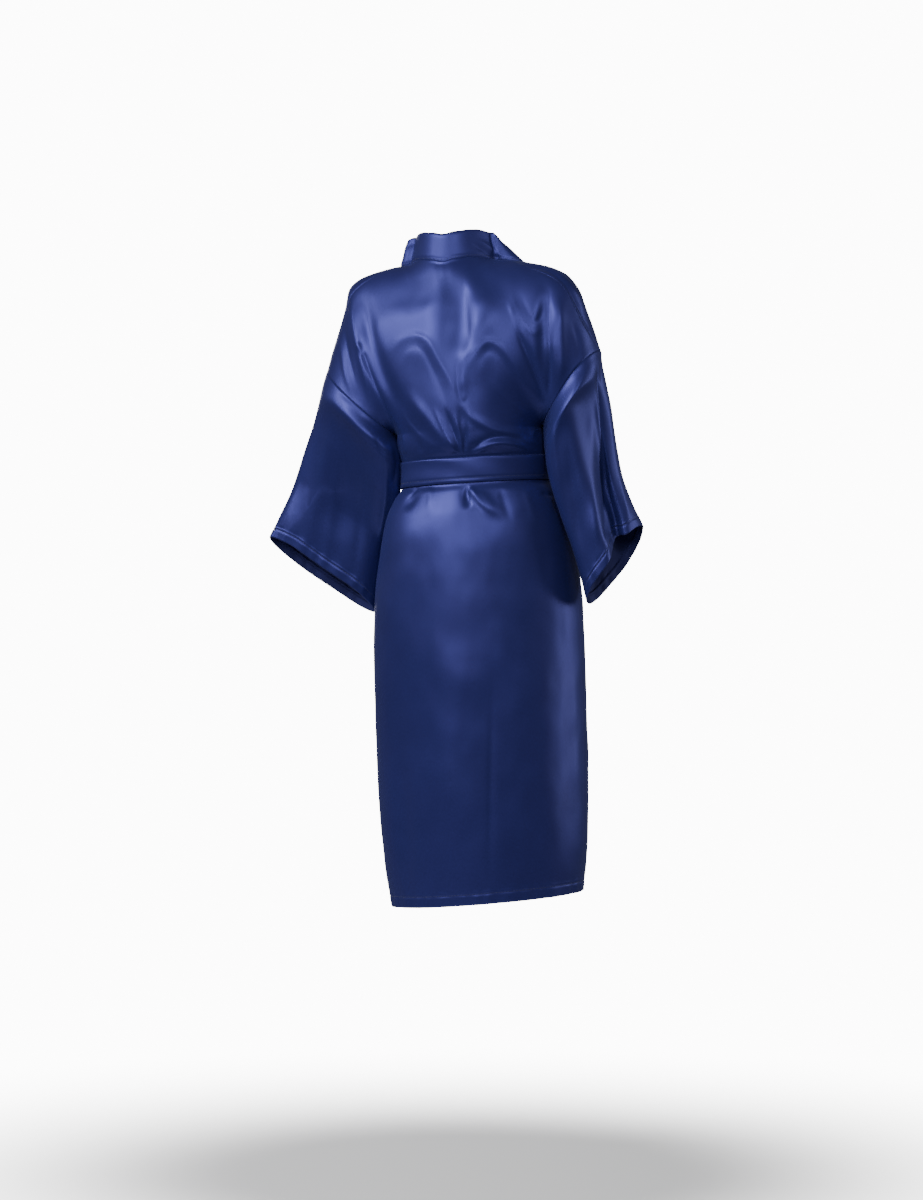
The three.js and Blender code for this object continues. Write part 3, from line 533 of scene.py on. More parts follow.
def outward(s, w, face):
    """The plain body's unit normals."""
    step = SLOPE_STEP
    across = plain_body(np.minimum(1, s + step), w, face) - plain_body(np.maximum(-1, s - step), w, face)
    down = plain_body(s, np.minimum(2, w + step), face) - plain_body(s, np.maximum(0, w - step), face)
    return unit(np.cross(across, down) * face)


def fold_lift(p, face):
    """How far the large folds lift the cloth; none where the belt holds it."""
    x, z = p[..., 0], p[..., 2]
    above = (z - BELT_HOLDS_TOP) / BELT_HOLDS_FADE
    below = (BELT_HOLDS_BOTTOM - z) / BELT_HOLDS_FADE
    lift = 0
    for fold in FOLDS:
        if fold["face"] == face:
            run_x, run_z = fold["x1"] - fold["x0"], fold["z1"] - fold["z0"]
            off_x, off_z = x - fold["x0"], z - fold["z0"]
            length = math.hypot(run_x, run_z)
            along = (off_x * run_x + off_z * run_z) / length**2
            off = (off_x * run_z - off_z * run_x) / length
            ends = smooth((along + FOLD_TAPER) / FOLD_FADES) * smooth((1 + FOLD_TAPER - along) / FOLD_FADES)
            lift = lift + fold["depth"] * FOLD_SOFTNESS * ends * np.exp(-((off / fold["wide"]) ** 2))
    return smooth(np.maximum(above, below)) * lift


def body(s, w, face, lap=0.0):
    """The body with its large folds; lap lifts it off the cloth below."""
    s, w = np.broadcast_arrays(np.asarray(s, float), np.asarray(w, float))
    p = plain_body(s, w, face)
    seam = (1 - np.abs(s) ** FOLDS_END_POWER) * smooth(w / FOLDS_START_ROW)
    lift = fold_lift(p, face) * seam + lap
    return p + outward(s, w, face) * lift[..., None]


def front(side, s, w):
    """A front panel, lapped over or under the other one."""
    s, w = np.broadcast_arrays(np.asarray(s, float), np.asarray(w, float))
    overlapped = smooth((LAP_START_SHARE - s) / LAP_SHARES) * smooth((w - LAP_START_ROW) / LAP_ROWS)
    return body(side * s, w, -1, (LAP_OVER if side > 0 else LAP_UNDER) * overlapped)


def picture(p):
    """Where the photograph shows points, in its pixels."""
    x, y, z = p[..., 0], p[..., 1], p[..., 2]
    near = -x * math.sin(CAMERA_TURN) + y * math.cos(CAMERA_TURN)
    scale = CAMERA_FAR / (CAMERA_FAR - near) / PHOTO_SCALE
    across = -x * math.cos(CAMERA_TURN) - y * math.sin(CAMERA_TURN)
    return PHOTO_AXIS_X + across * scale, PHOTO_ORIGIN_Y - (CAMERA_Z / PHOTO_SCALE) - (z - CAMERA_Z) * scale


def curve_through(line, count=8):
    """A smooth line through a few points."""
    points = np.array(line, float)
    ends = np.vstack([2 * points[0] - points[1], points, 2 * points[-1] - points[-2]])
    smoothed = []
    for i in range(len(points) - 1):
        p0, p1, p2, p3 = ends[i : i + 4]
        square, cube = 2 * p0 - 5 * p1 + 4 * p2 - p3, 3 * p1 - p0 - 3 * p2 + p3
        for t in np.arange(count) / count:
            smoothed.append(0.5 * (2 * p1 + (p2 - p0) * t + square * t**2 + cube * t**3))
    return np.array([*smoothed, points[-1]])


def crease_lift(a, b, rows, scale):
    """How far creases lift points at (a, b) of the creases' plane, which has scale millimetres to a unit."""
    lift = np.zeros(a.shape)
    for row in rows:
        line = curve_through(row["line"])
        reach = CREASE_REACH * max(row["right"], row["left"]) / scale
        low, high = line.min(axis=0) - reach, line.max(axis=0) + reach
        near = (a > low[0]) & (a < high[0]) & (b > low[1]) & (b < high[1])
        if not near.any():
            continue
        pa, pb = a[near], b[near]
        lengths = np.hypot(*np.diff(line, axis=0).T)
        before = np.concatenate([[0], np.cumsum(lengths)])
        best = np.full(pa.shape, np.inf)
        along = np.zeros(pa.shape)
        side = np.zeros(pa.shape)
        for i, length in enumerate(lengths):
            (x0, y0), (x1, y1) = line[i], line[i + 1]
            t = np.clip(((pa - x0) * (x1 - x0) + (pb - y0) * (y1 - y0)) / length**2, 0, 1)
            off_a, off_b = pa - mix(x0, x1, t), pb - mix(y0, y1, t)
            off = np.hypot(off_a, off_b)
            closer = off < best
            best = np.where(closer, off, best)
            along = np.where(closer, (before[i] + t * length) / before[-1], along)
            side = np.where(closer, (x1 - x0) * off_b - (y1 - y0) * off_a, side)
        wide = np.where(side > 0, row["right"], row["left"]) / scale
        ends = smooth(along / row["start"]) * smooth((1 - along) / row["end"])
        lift[near] += row["depth"] * ends * np.exp(-((best / wide) ** row["sharp"]))
    return lift


def crumple(p, size):
    """Soft unevenness of thin cloth, the same on both sides of a seam."""
    flat = p.reshape(-1, 3)
    wide = [noise.noise(Vector(q)) for q in (flat / CRUMPLE_WIDE + CRUMPLE_WIDE_START).tolist()]
    fine = [noise.noise(Vector(q)) for q in (flat * (1 / CRUMPLE_FINE) + CRUMPLE_FINE_START).tolist()]
    return size * (np.array(wide) + CRUMPLE_FINE_SHARE * np.array(fine)).reshape(p.shape[:-1])


def grid_normals(p, tube=False):
    """Unit normals of a grid of points, by its rows and columns."""
    if tube:
        across = np.roll(p, -1, axis=1) - np.roll(p, 1, axis=1)
    else:
        across = np.gradient(p, axis=1)
    return unit(np.cross(across, np.gradient(p, axis=0)))


def facing_out(normals, p, inside):
    return normals * np.sign(np.sum(normals * (p - inside)))


def arc_uv(p, tube=False):
    """Cloth coordinates in metres: along each row and down each column."""
    across = np.linalg.norm(np.diff(p, axis=1), axis=-1)
    u = np.concatenate([np.zeros((p.shape[0], 1)), np.cumsum(across, axis=1)], axis=1)
    u -= u[:, [p.shape[1] // 2]]
    down = np.linalg.norm(np.diff(p, axis=0), axis=-1).mean(axis=1)
    v = np.concatenate([[0], np.cumsum(down)])
    return stack(u, v[:, None]) * METRE


def edge_distance(p, row):
    """Distance down each column from a row of the grid, in millimetres."""
    down = np.linalg.norm(np.diff(p, axis=0), axis=-1)
    along = np.concatenate([np.zeros((1, p.shape[1])), np.cumsum(down, axis=0)])
    return np.abs(along - along[row])


def build_mesh(name, vertices, faces, material, uv=None, inside=None):
    mesh = bpy.data.meshes.new(name)
    mesh.from_pydata((np.asarray(vertices) * METRE).tolist(), [], faces)
    if uv is not None:
        layer = mesh.uv_layers.new(name="cloth")
        corners = np.empty(len(mesh.loops), dtype=np.int32)
        mesh.loops.foreach_get("vertex_index", corners)
        layer.data.foreach_set("uv", np.asarray(uv)[corners].ravel().astype(np.float32))
    if inside is not None:
        shares = mesh.attributes.new("inside", "FLOAT", "POINT")
        shares.data.foreach_set("value", np.asarray(inside, np.float32))
    work = bmesh.new()
    work.from_mesh(mesh)
    bmesh.ops.recalc_face_normals(work, faces=work.faces)
    work.to_mesh(mesh)
    work.free()
    mesh.shade_smooth()
    mesh.materials.append(material)
    piece = bpy.data.objects.new(name, mesh)
    bpy.context.scene.collection.objects.link(piece)
    return piece


def cloth_wall(name, outer, normals, thick, material, tube=False):
    """A closed wall of cloth from a grid of outer points, with rounded edges."""
    rows, columns = outer.shape[:2]
    thick = np.broadcast_to(thick, (rows, columns))
    inner = outer - normals * thick[..., None]
    uv = arc_uv(outer).reshape(-1, 2)
    index = np.arange(rows * columns).reshape(rows, columns)
    if tube:
        index = np.hstack([index, index[:, :1]])
    a, b = index[:-1, :-1].ravel(), index[1:, :-1].ravel()
    c, d = index[1:, 1:].ravel(), index[:-1, 1:].ravel()
    shift = rows * columns
    faces = np.vstack([np.stack([a, d, c, b], 1), np.stack([a, b, c, d], 1) + shift]).tolist()
    vertices = [outer.reshape(-1, 3), inner.reshape(-1, 3)]
    total = 2 * shift
    if tube:
        loops = [
            ([(0, j) for j in range(columns)], [(1, j) for j in range(columns)]),
            ([(rows - 1, j) for j in range(columns)], [(rows - 2, j) for j in range(columns)]),
        ]
    else:
        ring = [(0, j) for j in range(columns)] + [(i, columns - 1) for i in range(1, rows)]
        ring += [(rows - 1, j) for j in range(columns - 2, -1, -1)] + [(i, 0) for i in range(rows - 2, 0, -1)]
        within = [(min(max(i, 1), rows - 2), min(max(j, 1), columns - 2)) for i, j in ring]
        loops = [(ring, within)]
    edge_uv = []
    for ring, within in loops:
        i, j = np.array(ring).T
        k, m = np.array(within).T
        away = unit(outer[i, j] - outer[k, m])
        middle = (outer[i, j] + inner[i, j]) / 2 + away * (thick[i, j] * EDGE_ROUND / 2)[:, None]
        vertices.append(middle)
        edge_uv.append(uv[i * columns + j])
        here = i * columns + j
        after = np.roll(here, -1)
        mid = total + np.arange(len(here))
        mid_after = total + (np.arange(len(here)) + 1) % len(here)
        faces += np.stack([here, after, mid_after, mid], 1).tolist()
        faces += np.stack([mid, mid_after, after + shift, here + shift], 1).tolist()
        total += len(here)
    inside = np.concatenate([np.zeros(shift), np.ones(shift), np.full(total - 2 * shift, 0.5)])
    uv = np.vstack([uv, uv, *edge_uv])
    return build_mesh(name, np.vstack(vertices), faces, material, uv, inside)


def stitches(name, runs, sizes, material):
    """Small sewn stitches along lines on the cloth: runs is a list of (points, normals)."""
    length, gap, radius = sizes.stitch_length / METRE, sizes.stitch_gap / METRE, sizes.stitch_radius / METRE
    sides = STITCH_SIDES
    vertices, faces = [], []
    for points, normals in runs:
        along = np.concatenate([[0], np.cumsum(np.linalg.norm(np.diff(points, axis=0), axis=1))])
        centres = np.arange(gap + length / 2, along[-1] - length / 2, length + gap)
        at = np.stack([np.interp(centres, along, points[:, k]) for k in range(3)], 1)
        before = np.stack([np.interp(centres - length / 2, along, points[:, k]) for k in range(3)], 1)
        after = np.stack([np.interp(centres + length / 2, along, points[:, k]) for k in range(3)], 1)
        up = unit(np.stack([np.interp(centres, along, normals[:, k]) for k in range(3)], 1))
        way = unit(after - before)
        side = np.cross(way, up)
        for c, t, n, b in zip(at, way, up, side):
            first = len(vertices)
            for ring in STITCH_SHAPE:
                for k in range(sides):
                    turned = 2 * math.pi * k / sides
                    around = n * math.cos(turned) + b * math.sin(turned)
                    off = around * ring["wide"] + n * ring["high"]
                    vertices.append(c + t * ring["at"] * length + off * radius)
            for r in range(len(STITCH_SHAPE) - 1):
                for k in range(sides):
                    p, q = first + r * sides + k, first + r * sides + (k + 1) % sides
                    faces.append((p, q, q + sides, p + sides))
            faces.append(tuple(first + k for k in range(sides)))
            faces.append(tuple(first + (len(STITCH_SHAPE) - 1) * sides + k for k in range(sides)))
    return build_mesh(name, np.array(vertices), faces, material)


def sewn(piece, *nodes, slot):
    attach(piece, "root")
    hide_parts(*nodes)


# Shaders
def wire(tree, nodes, links, **made):
    """Adds nodes to a shader tree and links them; a link says "node.output > node.input"."""
    for name, kind, attributes, inputs in nodes:
        made[name] = tree.nodes.new(kind)
        for key, value in attributes.items():
            setattr(made[name], key, value)
        for key, value in inputs.items():
            made[name].inputs[key].default_value = value
    for link in links:
        (start, output), (end, socket) = (part.split(".") for part in link.split(" > "))
        key = int(socket) if socket.isdigit() else socket
        tree.links.new(made[start].outputs[output], made[end].inputs[key])


def satin_group():
    """Colour, roughness and height of satin, from cloth coordinates and the side of the wall."""
    if "Satin weave" in bpy.data.node_groups:
        return bpy.data.node_groups["Satin weave"]
    group = bpy.data.node_groups.new("Satin weave", "ShaderNodeTree")
    face = group.interface
    colour, number = "NodeSocketColor", "NodeSocketFloat"
    for name, kind, value in (
        ("Colour", colour, (0.03, 0.06, 0.3, 1)),
        ("Wrong side", colour, (0.02, 0.04, 0.2, 1)),
        ("Inside", number, 0),
        ("Roughness", number, 0.4),
        ("Variation", number, 0.12),
        ("Grain", number, 0.02),
    ):
        face.new_socket(name, in_out="INPUT", socket_type=kind).default_value = value
    for name, kind in (("Colour", colour), ("Roughness", number), ("Height", number)):
        face.new_socket(name, in_out="OUTPUT", socket_type=kind)
    nodes = (
        ("given", "NodeGroupInput", {}, {}),
        ("result", "NodeGroupOutput", {}, {}),
        ("uv", "ShaderNodeUVMap", {"uv_map": "cloth"}, {}),
        # Threads: long floats down the cloth, fine cross threads between them
        ("stretched", "ShaderNodeMapping", {}, {"Scale": (1100, 260, 1)}),
        ("floats", "ShaderNodeTexNoise", {}, {"Scale": 1, "Detail": 3}),
        ("crossed", "ShaderNodeMapping", {}, {"Scale": (130, 700, 1)}),
        ("slubs", "ShaderNodeTexNoise", {}, {"Scale": 1, "Detail": 2}),
        ("threads", "ShaderNodeMath", {"operation": "ADD"}, {}),
        ("height", "ShaderNodeMath", {"operation": "MULTIPLY"}, {}),
        # Colour: slightly lighter floats, slow variation, and the duller wrong side
        ("slow", "ShaderNodeTexNoise", {}, {"Scale": 14, "Detail": 2}),
        ("both", "ShaderNodeMath", {"operation": "ADD"}, {}),
        ("centred", "ShaderNodeMath", {"operation": "SUBTRACT"}, {1: 1.0}),
        ("varied", "ShaderNodeMath", {"operation": "MULTIPLY_ADD"}, {2: 1.0}),
        ("side", "ShaderNodeMix", {"data_type": "RGBA"}, {}),
        ("scaled", "ShaderNodeVectorMath", {"operation": "SCALE"}, {}),
        # Roughness: the wrong side is duller, and the floats scatter a little
        ("dull", "ShaderNodeMath", {"operation": "MULTIPLY_ADD"}, {1: 0.2}),
        ("scattered", "ShaderNodeMath", {"operation": "MULTIPLY_ADD"}, {1: 0.08}),
    )
    links = (
        "uv.UV > stretched.Vector",
        "stretched.Vector > floats.Vector",
        "uv.UV > crossed.Vector",
        "crossed.Vector > slubs.Vector",
        "floats.Fac > threads.0",
        "slubs.Fac > threads.1",
        "threads.Value > height.0",
        "given.Grain > height.1",
        "height.Value > result.Height",
        "uv.UV > slow.Vector",
        "floats.Fac > both.0",
        "slow.Fac > both.1",
        "both.Value > centred.0",
        "centred.Value > varied.0",
        "given.Variation > varied.1",
        "given.Inside > side.Factor",
        "given.Colour > side.A",
        "given.Wrong side > side.B",
        "side.Result > scaled.Vector",
        "varied.Value > scaled.Scale",
        "scaled.Vector > result.Colour",
        "given.Inside > dull.0",
        "given.Roughness > dull.2",
        "centred.Value > scattered.0",
        "dull.Value > scattered.2",
        "scattered.Value > result.Roughness",
    )
    wire(group, nodes, links)
    return group


def new_material(name):
    material = bpy.data.materials.new(name)
    material.use_nodes = True
    return material, material.node_tree, material.node_tree.nodes["Principled BSDF"]


def satin(name, sizes, rough=0.0):
    if name in bpy.data.materials:
        return bpy.data.materials[name]
    material, tree, shader = new_material(name)
    weave = {
        "Colour": (*sizes.satin_colour, 1),
        "Wrong side": (*[channel * WRONG_SIDE_SHADE for channel in sizes.satin_colour], 1),
        "Roughness": sizes.satin_roughness + rough,
        "Variation": sizes.colour_variation,
        "Grain": sizes.grain,
    }
    nodes = (
        ("weave", "ShaderNodeGroup", {"node_tree": satin_group()}, weave),
        ("side", "ShaderNodeAttribute", {"attribute_name": "inside"}, {}),
        ("bump", "ShaderNodeBump", {}, {"Distance": METRE}),
        ("threads", "ShaderNodeTangent", {"direction_type": "RADIAL", "axis": "Z"}, {}),
    )
    links = (
        "side.Fac > weave.Inside",
        "weave.Colour > shader.Base Color",
        "weave.Roughness > shader.Roughness",
        "weave.Height > bump.Height",
        "bump.Normal > shader.Normal",
        "threads.Tangent > shader.Tangent",
    )
    wire(tree, nodes, links, shader=shader)
    shader.inputs["Metallic"].default_value = sizes.satin_metal
    for key, value in SATIN_SHEEN.items():
        shader.inputs[key].default_value = value
    return material


def thread(sizes):
    if "Sewing thread" in bpy.data.materials:
        return bpy.data.materials["Sewing thread"]
    material, tree, shader = new_material("Sewing thread")
    shader.inputs["Base Color"].default_value = (*sizes.thread_colour, 1)
    shader.inputs["Roughness"].default_value = 0.5
    shader.inputs["Sheen Weight"].default_value = 0.3
    return material


# Pieces
CAMERA_WAY = np.array([-math.sin(CAMERA_TURN), math.cos(CAMERA_TURN), 0])
ROW_STEPS = table("top bottom count", (UNDERARM_Z, -320, 60), (-320, -738, 80), (-738, HEM_Z, 19))
LOWER_ROWS = [row_at(np.linspace(part["top"], part["bottom"], part["count"]))[1:] for part in ROW_STEPS]
BODY_ROWS = np.concatenate([np.linspace(0, 1, YOKE_ROWS), *LOWER_ROWS])
BODY_ROWS[0] = SEAM_GAP / SHOULDER_TO_UNDERARM


def seam_share(s, w):
    """Pulls a panel's side edge back from the seam by half the gap."""
    half = np.where(w <= 1, UNDERARM_X, section_half(mix(UNDERARM_Z, HEM_Z, np.clip(w - 1, 0, 1))))
    limit = np.arccos(SIDE_SEAM_HALF_GAP / half) / QUARTER
    return np.where(w < SIDE_SEAM_FROM_ROW, s, np.sign(s) * np.minimum(np.abs(s), limit))


def belt_free(z):
    """0 under the belt and 1 clear of it."""
    return smooth(np.maximum(z - BELT_HOLDS_TOP, BELT_HOLDS_BOTTOM - z) / BELT_FREES_BY)


def seen_lift(p, normals, name, sizes):
    """Creases placed by the photograph, on the cloth that faces its camera, and those of the front."""
    facing = smooth((normals @ CAMERA_WAY - FACING_FROM) / FACING_OVER)
    across, down = picture(p)
    lift = facing * crease_lift(across, down, CREASES.get(name, []), PHOTO_SCALE)
    if name.startswith("front"):
        ahead = smooth((-normals[..., 1] - FACING_FROM) / FACING_OVER)
        lift += ahead * crease_lift(p[..., 0], p[..., 2], FRONT_CREASES, 1)
    return lift * sizes.crease_depth


def hem_lift(distance, across, depth):
    """The step of a turned hem, its stitched groove and small puckers."""
    step = HEM_STEP * smooth((depth + HEM_STEP_PAST - distance) / HEM_STEP_WIDTH)
    groove = -HEM_GROOVE * np.exp(-(((distance - depth + SEWN_INSIDE) / HEM_GROOVE_WIDTH) ** 2))
    pucker = np.sin(across / 3.1 + 1.3 * np.sin(across / 11)) + 0.7 * np.sin(across / 7.3 + 2)
    puckered = PUCKER_HEIGHT * pucker * smooth((depth + PUCKERS_PAST - distance) / PUCKER_REACH)
    return step + groove * (1 + 0.3 * pucker) + puckered


def hem_thickness(distance, depth):
    return mix(CLOTH, HEM_THICK, smooth((depth + HEM_STEP_PAST - distance) / HEM_STEP_WIDTH))


def hem_row(distance, depth):
    """The grid's row where a hem is sewn."""
    return int(np.argmin(np.abs(distance.mean(axis=1) - (depth - SEWN_INSIDE))))


def sew(piece, name, runs, sizes, node, slot):
    """Stitches along the lines of a piece; both take the place of the same solid."""
    sewing = stitches(name, runs, sizes, thread(sizes))
    for made in (piece, sewing):
        sewn(made, node, slot=slot)
    return sewing


def closed(line, *grids):
    """A row of each grid of a tube, back to its first point."""
    return tuple(np.vstack([grid[line], grid[line][:1]]) for grid in grids)


def panel(name, points, sizes, fade):
    """A body panel from its folded points, creased and hemmed, and the line along which its hem is sewn."""
    inside = axis_of(points)
    hem_depth = sizes.hem_depth / METRE
    normals = facing_out(grid_normals(points), points, inside)
    z = points[..., 2]
    lift = seen_lift(points, normals, name, sizes) * belt_free(z)
    lift += crumple(points, sizes.crumple / METRE) * belt_free(z)
    lift *= fade
    distance = edge_distance(points, -1)
    across = arc_uv(points)[..., 0] / METRE
    lift += hem_lift(distance, across, hem_depth)
    outer = points + normals * lift[..., None]
    normals = facing_out(grid_normals(outer), outer, inside)
    piece = cloth_wall(name, outer, normals, hem_thickness(distance, hem_depth), satin("Navy satin", sizes))
    line = hem_row(distance, hem_depth)
    return piece, (outer[line], normals[line])


def axis_of(points):
    return stack(lean(points[..., 2]), 0, np.minimum(points[..., 2], AXIS_TOP) - AXIS_BELOW)


def make_back(sizes):
    neck = NECK_SHARE * np.linspace(0, 1, NECK_COLUMNS)
    half = np.concatenate([neck, np.linspace(NECK_SHARE, 1, SHOULDER_COLUMNS)[1:]])
    s = np.concatenate([-half[:0:-1], half])[None, :]
    w = BODY_ROWS[:, None]
    points = stand(body(seam_share(s, w), w, 1))
    fade = (1 - np.abs(s) ** CREASES_END_POWER) * smooth(w / CREASES_START_ROW)
    piece, line = panel("back_panel", points, sizes, fade)
    sewing = sew(piece, "back_hem_stitches", [line], sizes, "back", "satin")


def make_front(sizes, side):
    name = "front_left" if side > 0 else "front_right"
    w = BODY_ROWS[:, None]
    share = np.linspace(0, 1, FRONT_COLUMNS)[None, :]
    s = seam_share(mix(front_edge[side](w), 1, share), w)
    points = stand(front(side, s, w))
    fade = smooth((1 - s) / CREASES_END_SHARE) * smooth(share / CREASES_END_SHARE)
    fade = fade * smooth(w / CREASES_START_ROW)
    piece, line = panel(name + "_panel", points, sizes, fade)
    sewing = sew(piece, name + "_hem_stitches", [line], sizes, name, "satin")


def sleeve_points(side, rings, angles):
    """The folded sleeve as a grid of rings from the armhole to the cuff."""
    name = "left" if side > 0 else "right"
    top = stand(yoke(side, 0.0))
    under = stand(yoke(side, QUARTER))
    start = dict(zip(SLEEVE_COLUMNS.split(), (0, *top, *under, ARMHOLE_HALF_DEPTH)))
    rows = [start, *SLEEVES[name]]
    curve = {column: through(rows, "t", column) for column in SLEEVE_COLUMNS.split()[1:]}

    def outer_edge(t):
        return stack(curve["outX"](t), curve["outY"](t), curve["outZ"](t))

    def inner_edge(t):
        return stack(curve["inX"](t), curve["inY"](t), curve["inZ"](t))

    leave = unit(outer_edge(0.1) + inner_edge(0.1) - outer_edge(0.0) - inner_edge(0.0))
    away = unit(np.cross(top - under, stand(yoke(side, QUARTER / 2)) - under))
    away = away * np.sign(away @ leave)

    def depth_way(t):
        return unit(np.cross(outer_edge(t) - inner_edge(t), leave) * side)

    def plain(t, a):
        middle = (outer_edge(t) + inner_edge(t)) / 2
        reach = (outer_edge(t) - middle) * np.cos(a)[..., None]
        return middle + reach + depth_way(t) * (curve["half"](t) * np.sin(a))[..., None]

    t, a = np.meshgrid(rings, angles, indexing="ij")
    angle = np.where(a <= math.pi, a / 2, -(2 * math.pi - a) / 2)
    fitted = (1 - smooth(t / SLEEVE_FITS_BY)) ** SLEEVE_FIT_EASE
    fit = (stand(yoke(side, angle)) - plain(0 * t, a)) * fitted[..., None]
    points = plain(t, a) + fit + away * (ARMHOLE_GAP * (1 - t))[..., None]
    bulge = depth_way(t) * np.where(np.sin(a) >= 0, 1, -1)[..., None]
    outwards = unit(outer_edge(t) - inner_edge(t))
    near_cuff = smooth((t - CUFF_SHAPE_FROM) / (1 - CUFF_SHAPE_FROM))
    for fold in SLEEVE_FOLDS[name]:
        at = fold["turn"] + fold["bend"] * t**2
        share = np.exp(-(((a - at) / fold["wide"]) ** 2))
        along = np.clip((t - fold["t0"]) / (fold["t1"] - fold["t0"]), 0, 1)
        arched = np.clip(np.sin(math.pi * along), 0, 1) ** 0.5
        lift = fold["depth"] * share * arched * smooth(t / SLEEVE_FOLDS_BY)
        points += bulge * lift[..., None] + outwards * (fold["slide"] * share * near_cuff)[..., None]
        points += leave * (fold["drop"] * share * near_cuff)[..., None]
    return points


def make_sleeve(sizes, side):
    name = "sleeve_left" if side > 0 else "sleeve_right"
    upper = np.linspace(0, CUFF_RINGS_FROM, SLEEVE_RINGS)
    rings = np.concatenate([upper, np.linspace(CUFF_RINGS_FROM, 1, CUFF_RINGS)[1:]])
    angles = np.linspace(0, 2 * math.pi, SLEEVE_SIDES, endpoint=False)
    points = sleeve_points(side, rings, angles)
    inside = points.mean(axis=1, keepdims=True)
    normals = facing_out(grid_normals(points, tube=True), points, inside)
    near_armhole = smooth(rings / CREASES_START_ROW)[:, None]
    lift = seen_lift(points, normals, name, sizes) + crumple(points, sizes.crumple / METRE)
    distance = edge_distance(points, -1)
    across = np.cumsum(np.linalg.norm(points - np.roll(points, 1, axis=1), axis=-1), axis=1)
    hem = sizes.cuff_hem_depth / METRE
    lift = lift * near_armhole + hem_lift(distance, across, hem)
    outer = points + normals * lift[..., None]
    normals = facing_out(grid_normals(outer, tube=True), outer, inside)
    thick = hem_thickness(distance, hem)
    piece = cloth_wall(name + "_tube", outer, normals, thick, satin("Navy satin", sizes), tube=True)
    ring = closed(hem_row(distance, hem), outer, normals)
    sewing = sew(piece, name + "_cuff_stitches", [ring], sizes, name, "satin")


def band_on_front(side, w, f):
    """The neckband where it lies on a front: f runs from the seam (0) to the free edge (1)."""
    edge = front_edge[side]
    s = edge(w)
    seam = front(side, s, w)
    low, high = np.maximum(0, w - EDGE_STEP), w + EDGE_STEP
    along_edge = front(side, edge(high), high) - front(side, edge(low), low)
    out = outward(side * s, np.maximum(w, BAND_ROW_STEP), -1)
    away = unit(np.cross(along_edge, out))
    per_share = (front(side, s - BAND_SHARE_STEP, w) - seam) / BAND_SHARE_STEP
    per_row = (front(side, s, w - BAND_ROW_STEP) - seam) / BAND_ROW_STEP
    away = away * np.sign(dot(away, per_share))[..., None]
    reach = (BAND_GAP + BAND_WIDTH * f)[..., None]
    wanted = away * reach
    aa, ab, bb = dot(per_share, per_share), dot(per_share, per_row), dot(per_row, per_row)
    to_share, to_row = dot(wanted, per_share), dot(wanted, per_row)
    det = aa * bb - ab * ab
    shares = (to_share * bb - to_row * ab) / det
    risen = (to_row * aa - to_share * ab) / det
    lying = front(side, s - shares, np.minimum(2, w - risen)) + out * BAND_PROUD
    opened = smooth(w / BAND_OPENS_BY)[..., None]
    leaning = unit(mix(unit(BAND_LEAN_SIDE), unit(BAND_LEANS_OPEN[side]), opened))
    standing = seam + leaning * [side, 1, 1] * reach
    start, by = BAND_LIES[side]
    return mix(standing, lying, smooth((w - start) / (by - start))[..., None])


def band_behind(share, f):
    """The neckband round the back of the neck: share from -1 (right) to 1 (left)."""
    side = np.where(share < 0, -1.0, 1.0)
    seam = body(share * NECK_SHARE, 0.0 * share, 1)
    at_side = unit(BAND_LEAN_SIDE) * stack(side, 1, 1)
    lean_here = unit(mix(unit(BAND_LEAN_BACK), at_side, (share**2)[..., None]))
    return seam + lean_here * (SEAM_GAP + BAND_WIDTH * f)[..., None]


def make_neckband(sizes):
    f = np.linspace(0, 1, BAND_COLUMNS)
    down = BODY_ROWS[2:]
    w, across = np.meshgrid(down, f, indexing="ij")
    round_neck, across_neck = np.meshgrid(np.linspace(-1, 1, BAND_NECK_ROWS), f, indexing="ij")
    points = np.concatenate(
        [
            band_on_front(-1, w[::-1], across[::-1]),
            band_behind(round_neck, across_neck),
            band_on_front(1, w, across),
        ]
    )
    points = stand(points)
    inside = axis_of(points)
    normals = facing_out(grid_normals(points), points, inside)
    z = points[..., 2]
    edges = smooth(np.minimum(f, 1 - f) / BAND_EDGE_SHARE)[None, :]
    lift = seen_lift(points, normals, "neckband", sizes) * edges
    lift += CRUMPLE_ON_STIFF_CLOTH * crumple(points, sizes.crumple / METRE) * edges * belt_free(z)
    seam_line = -BAND_GROOVE * np.exp(-(((f * BAND_WIDTH - BAND_SEWN_AT) / BAND_GROOVE_WIDTH) ** 2))[None, :]
    lift += BAND_EDGE_ROLL * (edges - 1) + seam_line * belt_free(z)
    outer = points + normals * lift[..., None]
    normals = facing_out(grid_normals(outer), outer, inside)
    cloth = satin("Navy satin band", sizes, BAND_ROUGHER)
    piece = cloth_wall("neckband_strip", outer, normals, BAND_THICK, cloth)
    near_seam = int(round(BAND_SEWN_AT / BAND_WIDTH * (len(f) - 1)))
    run = (outer[:, near_seam], normals[:, near_seam])
    sewing = sew(piece, "neckband_stitches", [run], sizes, "neckband", "band_satin")


def belt_point(angle, z, proud):
    """A point round the belt: angle from the middle of the back (0) to the front."""
    depth = np.where(np.cos(angle) >= 0, section_depth[1](BELT_Z), section_depth[-1](BELT_Z))
    off = BELT_CLEAR + proud + BELT_FRONT_RISE * smooth(-np.cos(angle) * BELT_RISE_EASE + BELT_RISE_START)
    half = section_half(BELT_Z) + off
    return stand(stack(half * np.sin(angle), (depth + off) * np.cos(angle), z))


def belt_groove(off):
    return -BELT_GROOVE * np.exp(-((off / BELT_GROOVE_WIDTH) ** 2))


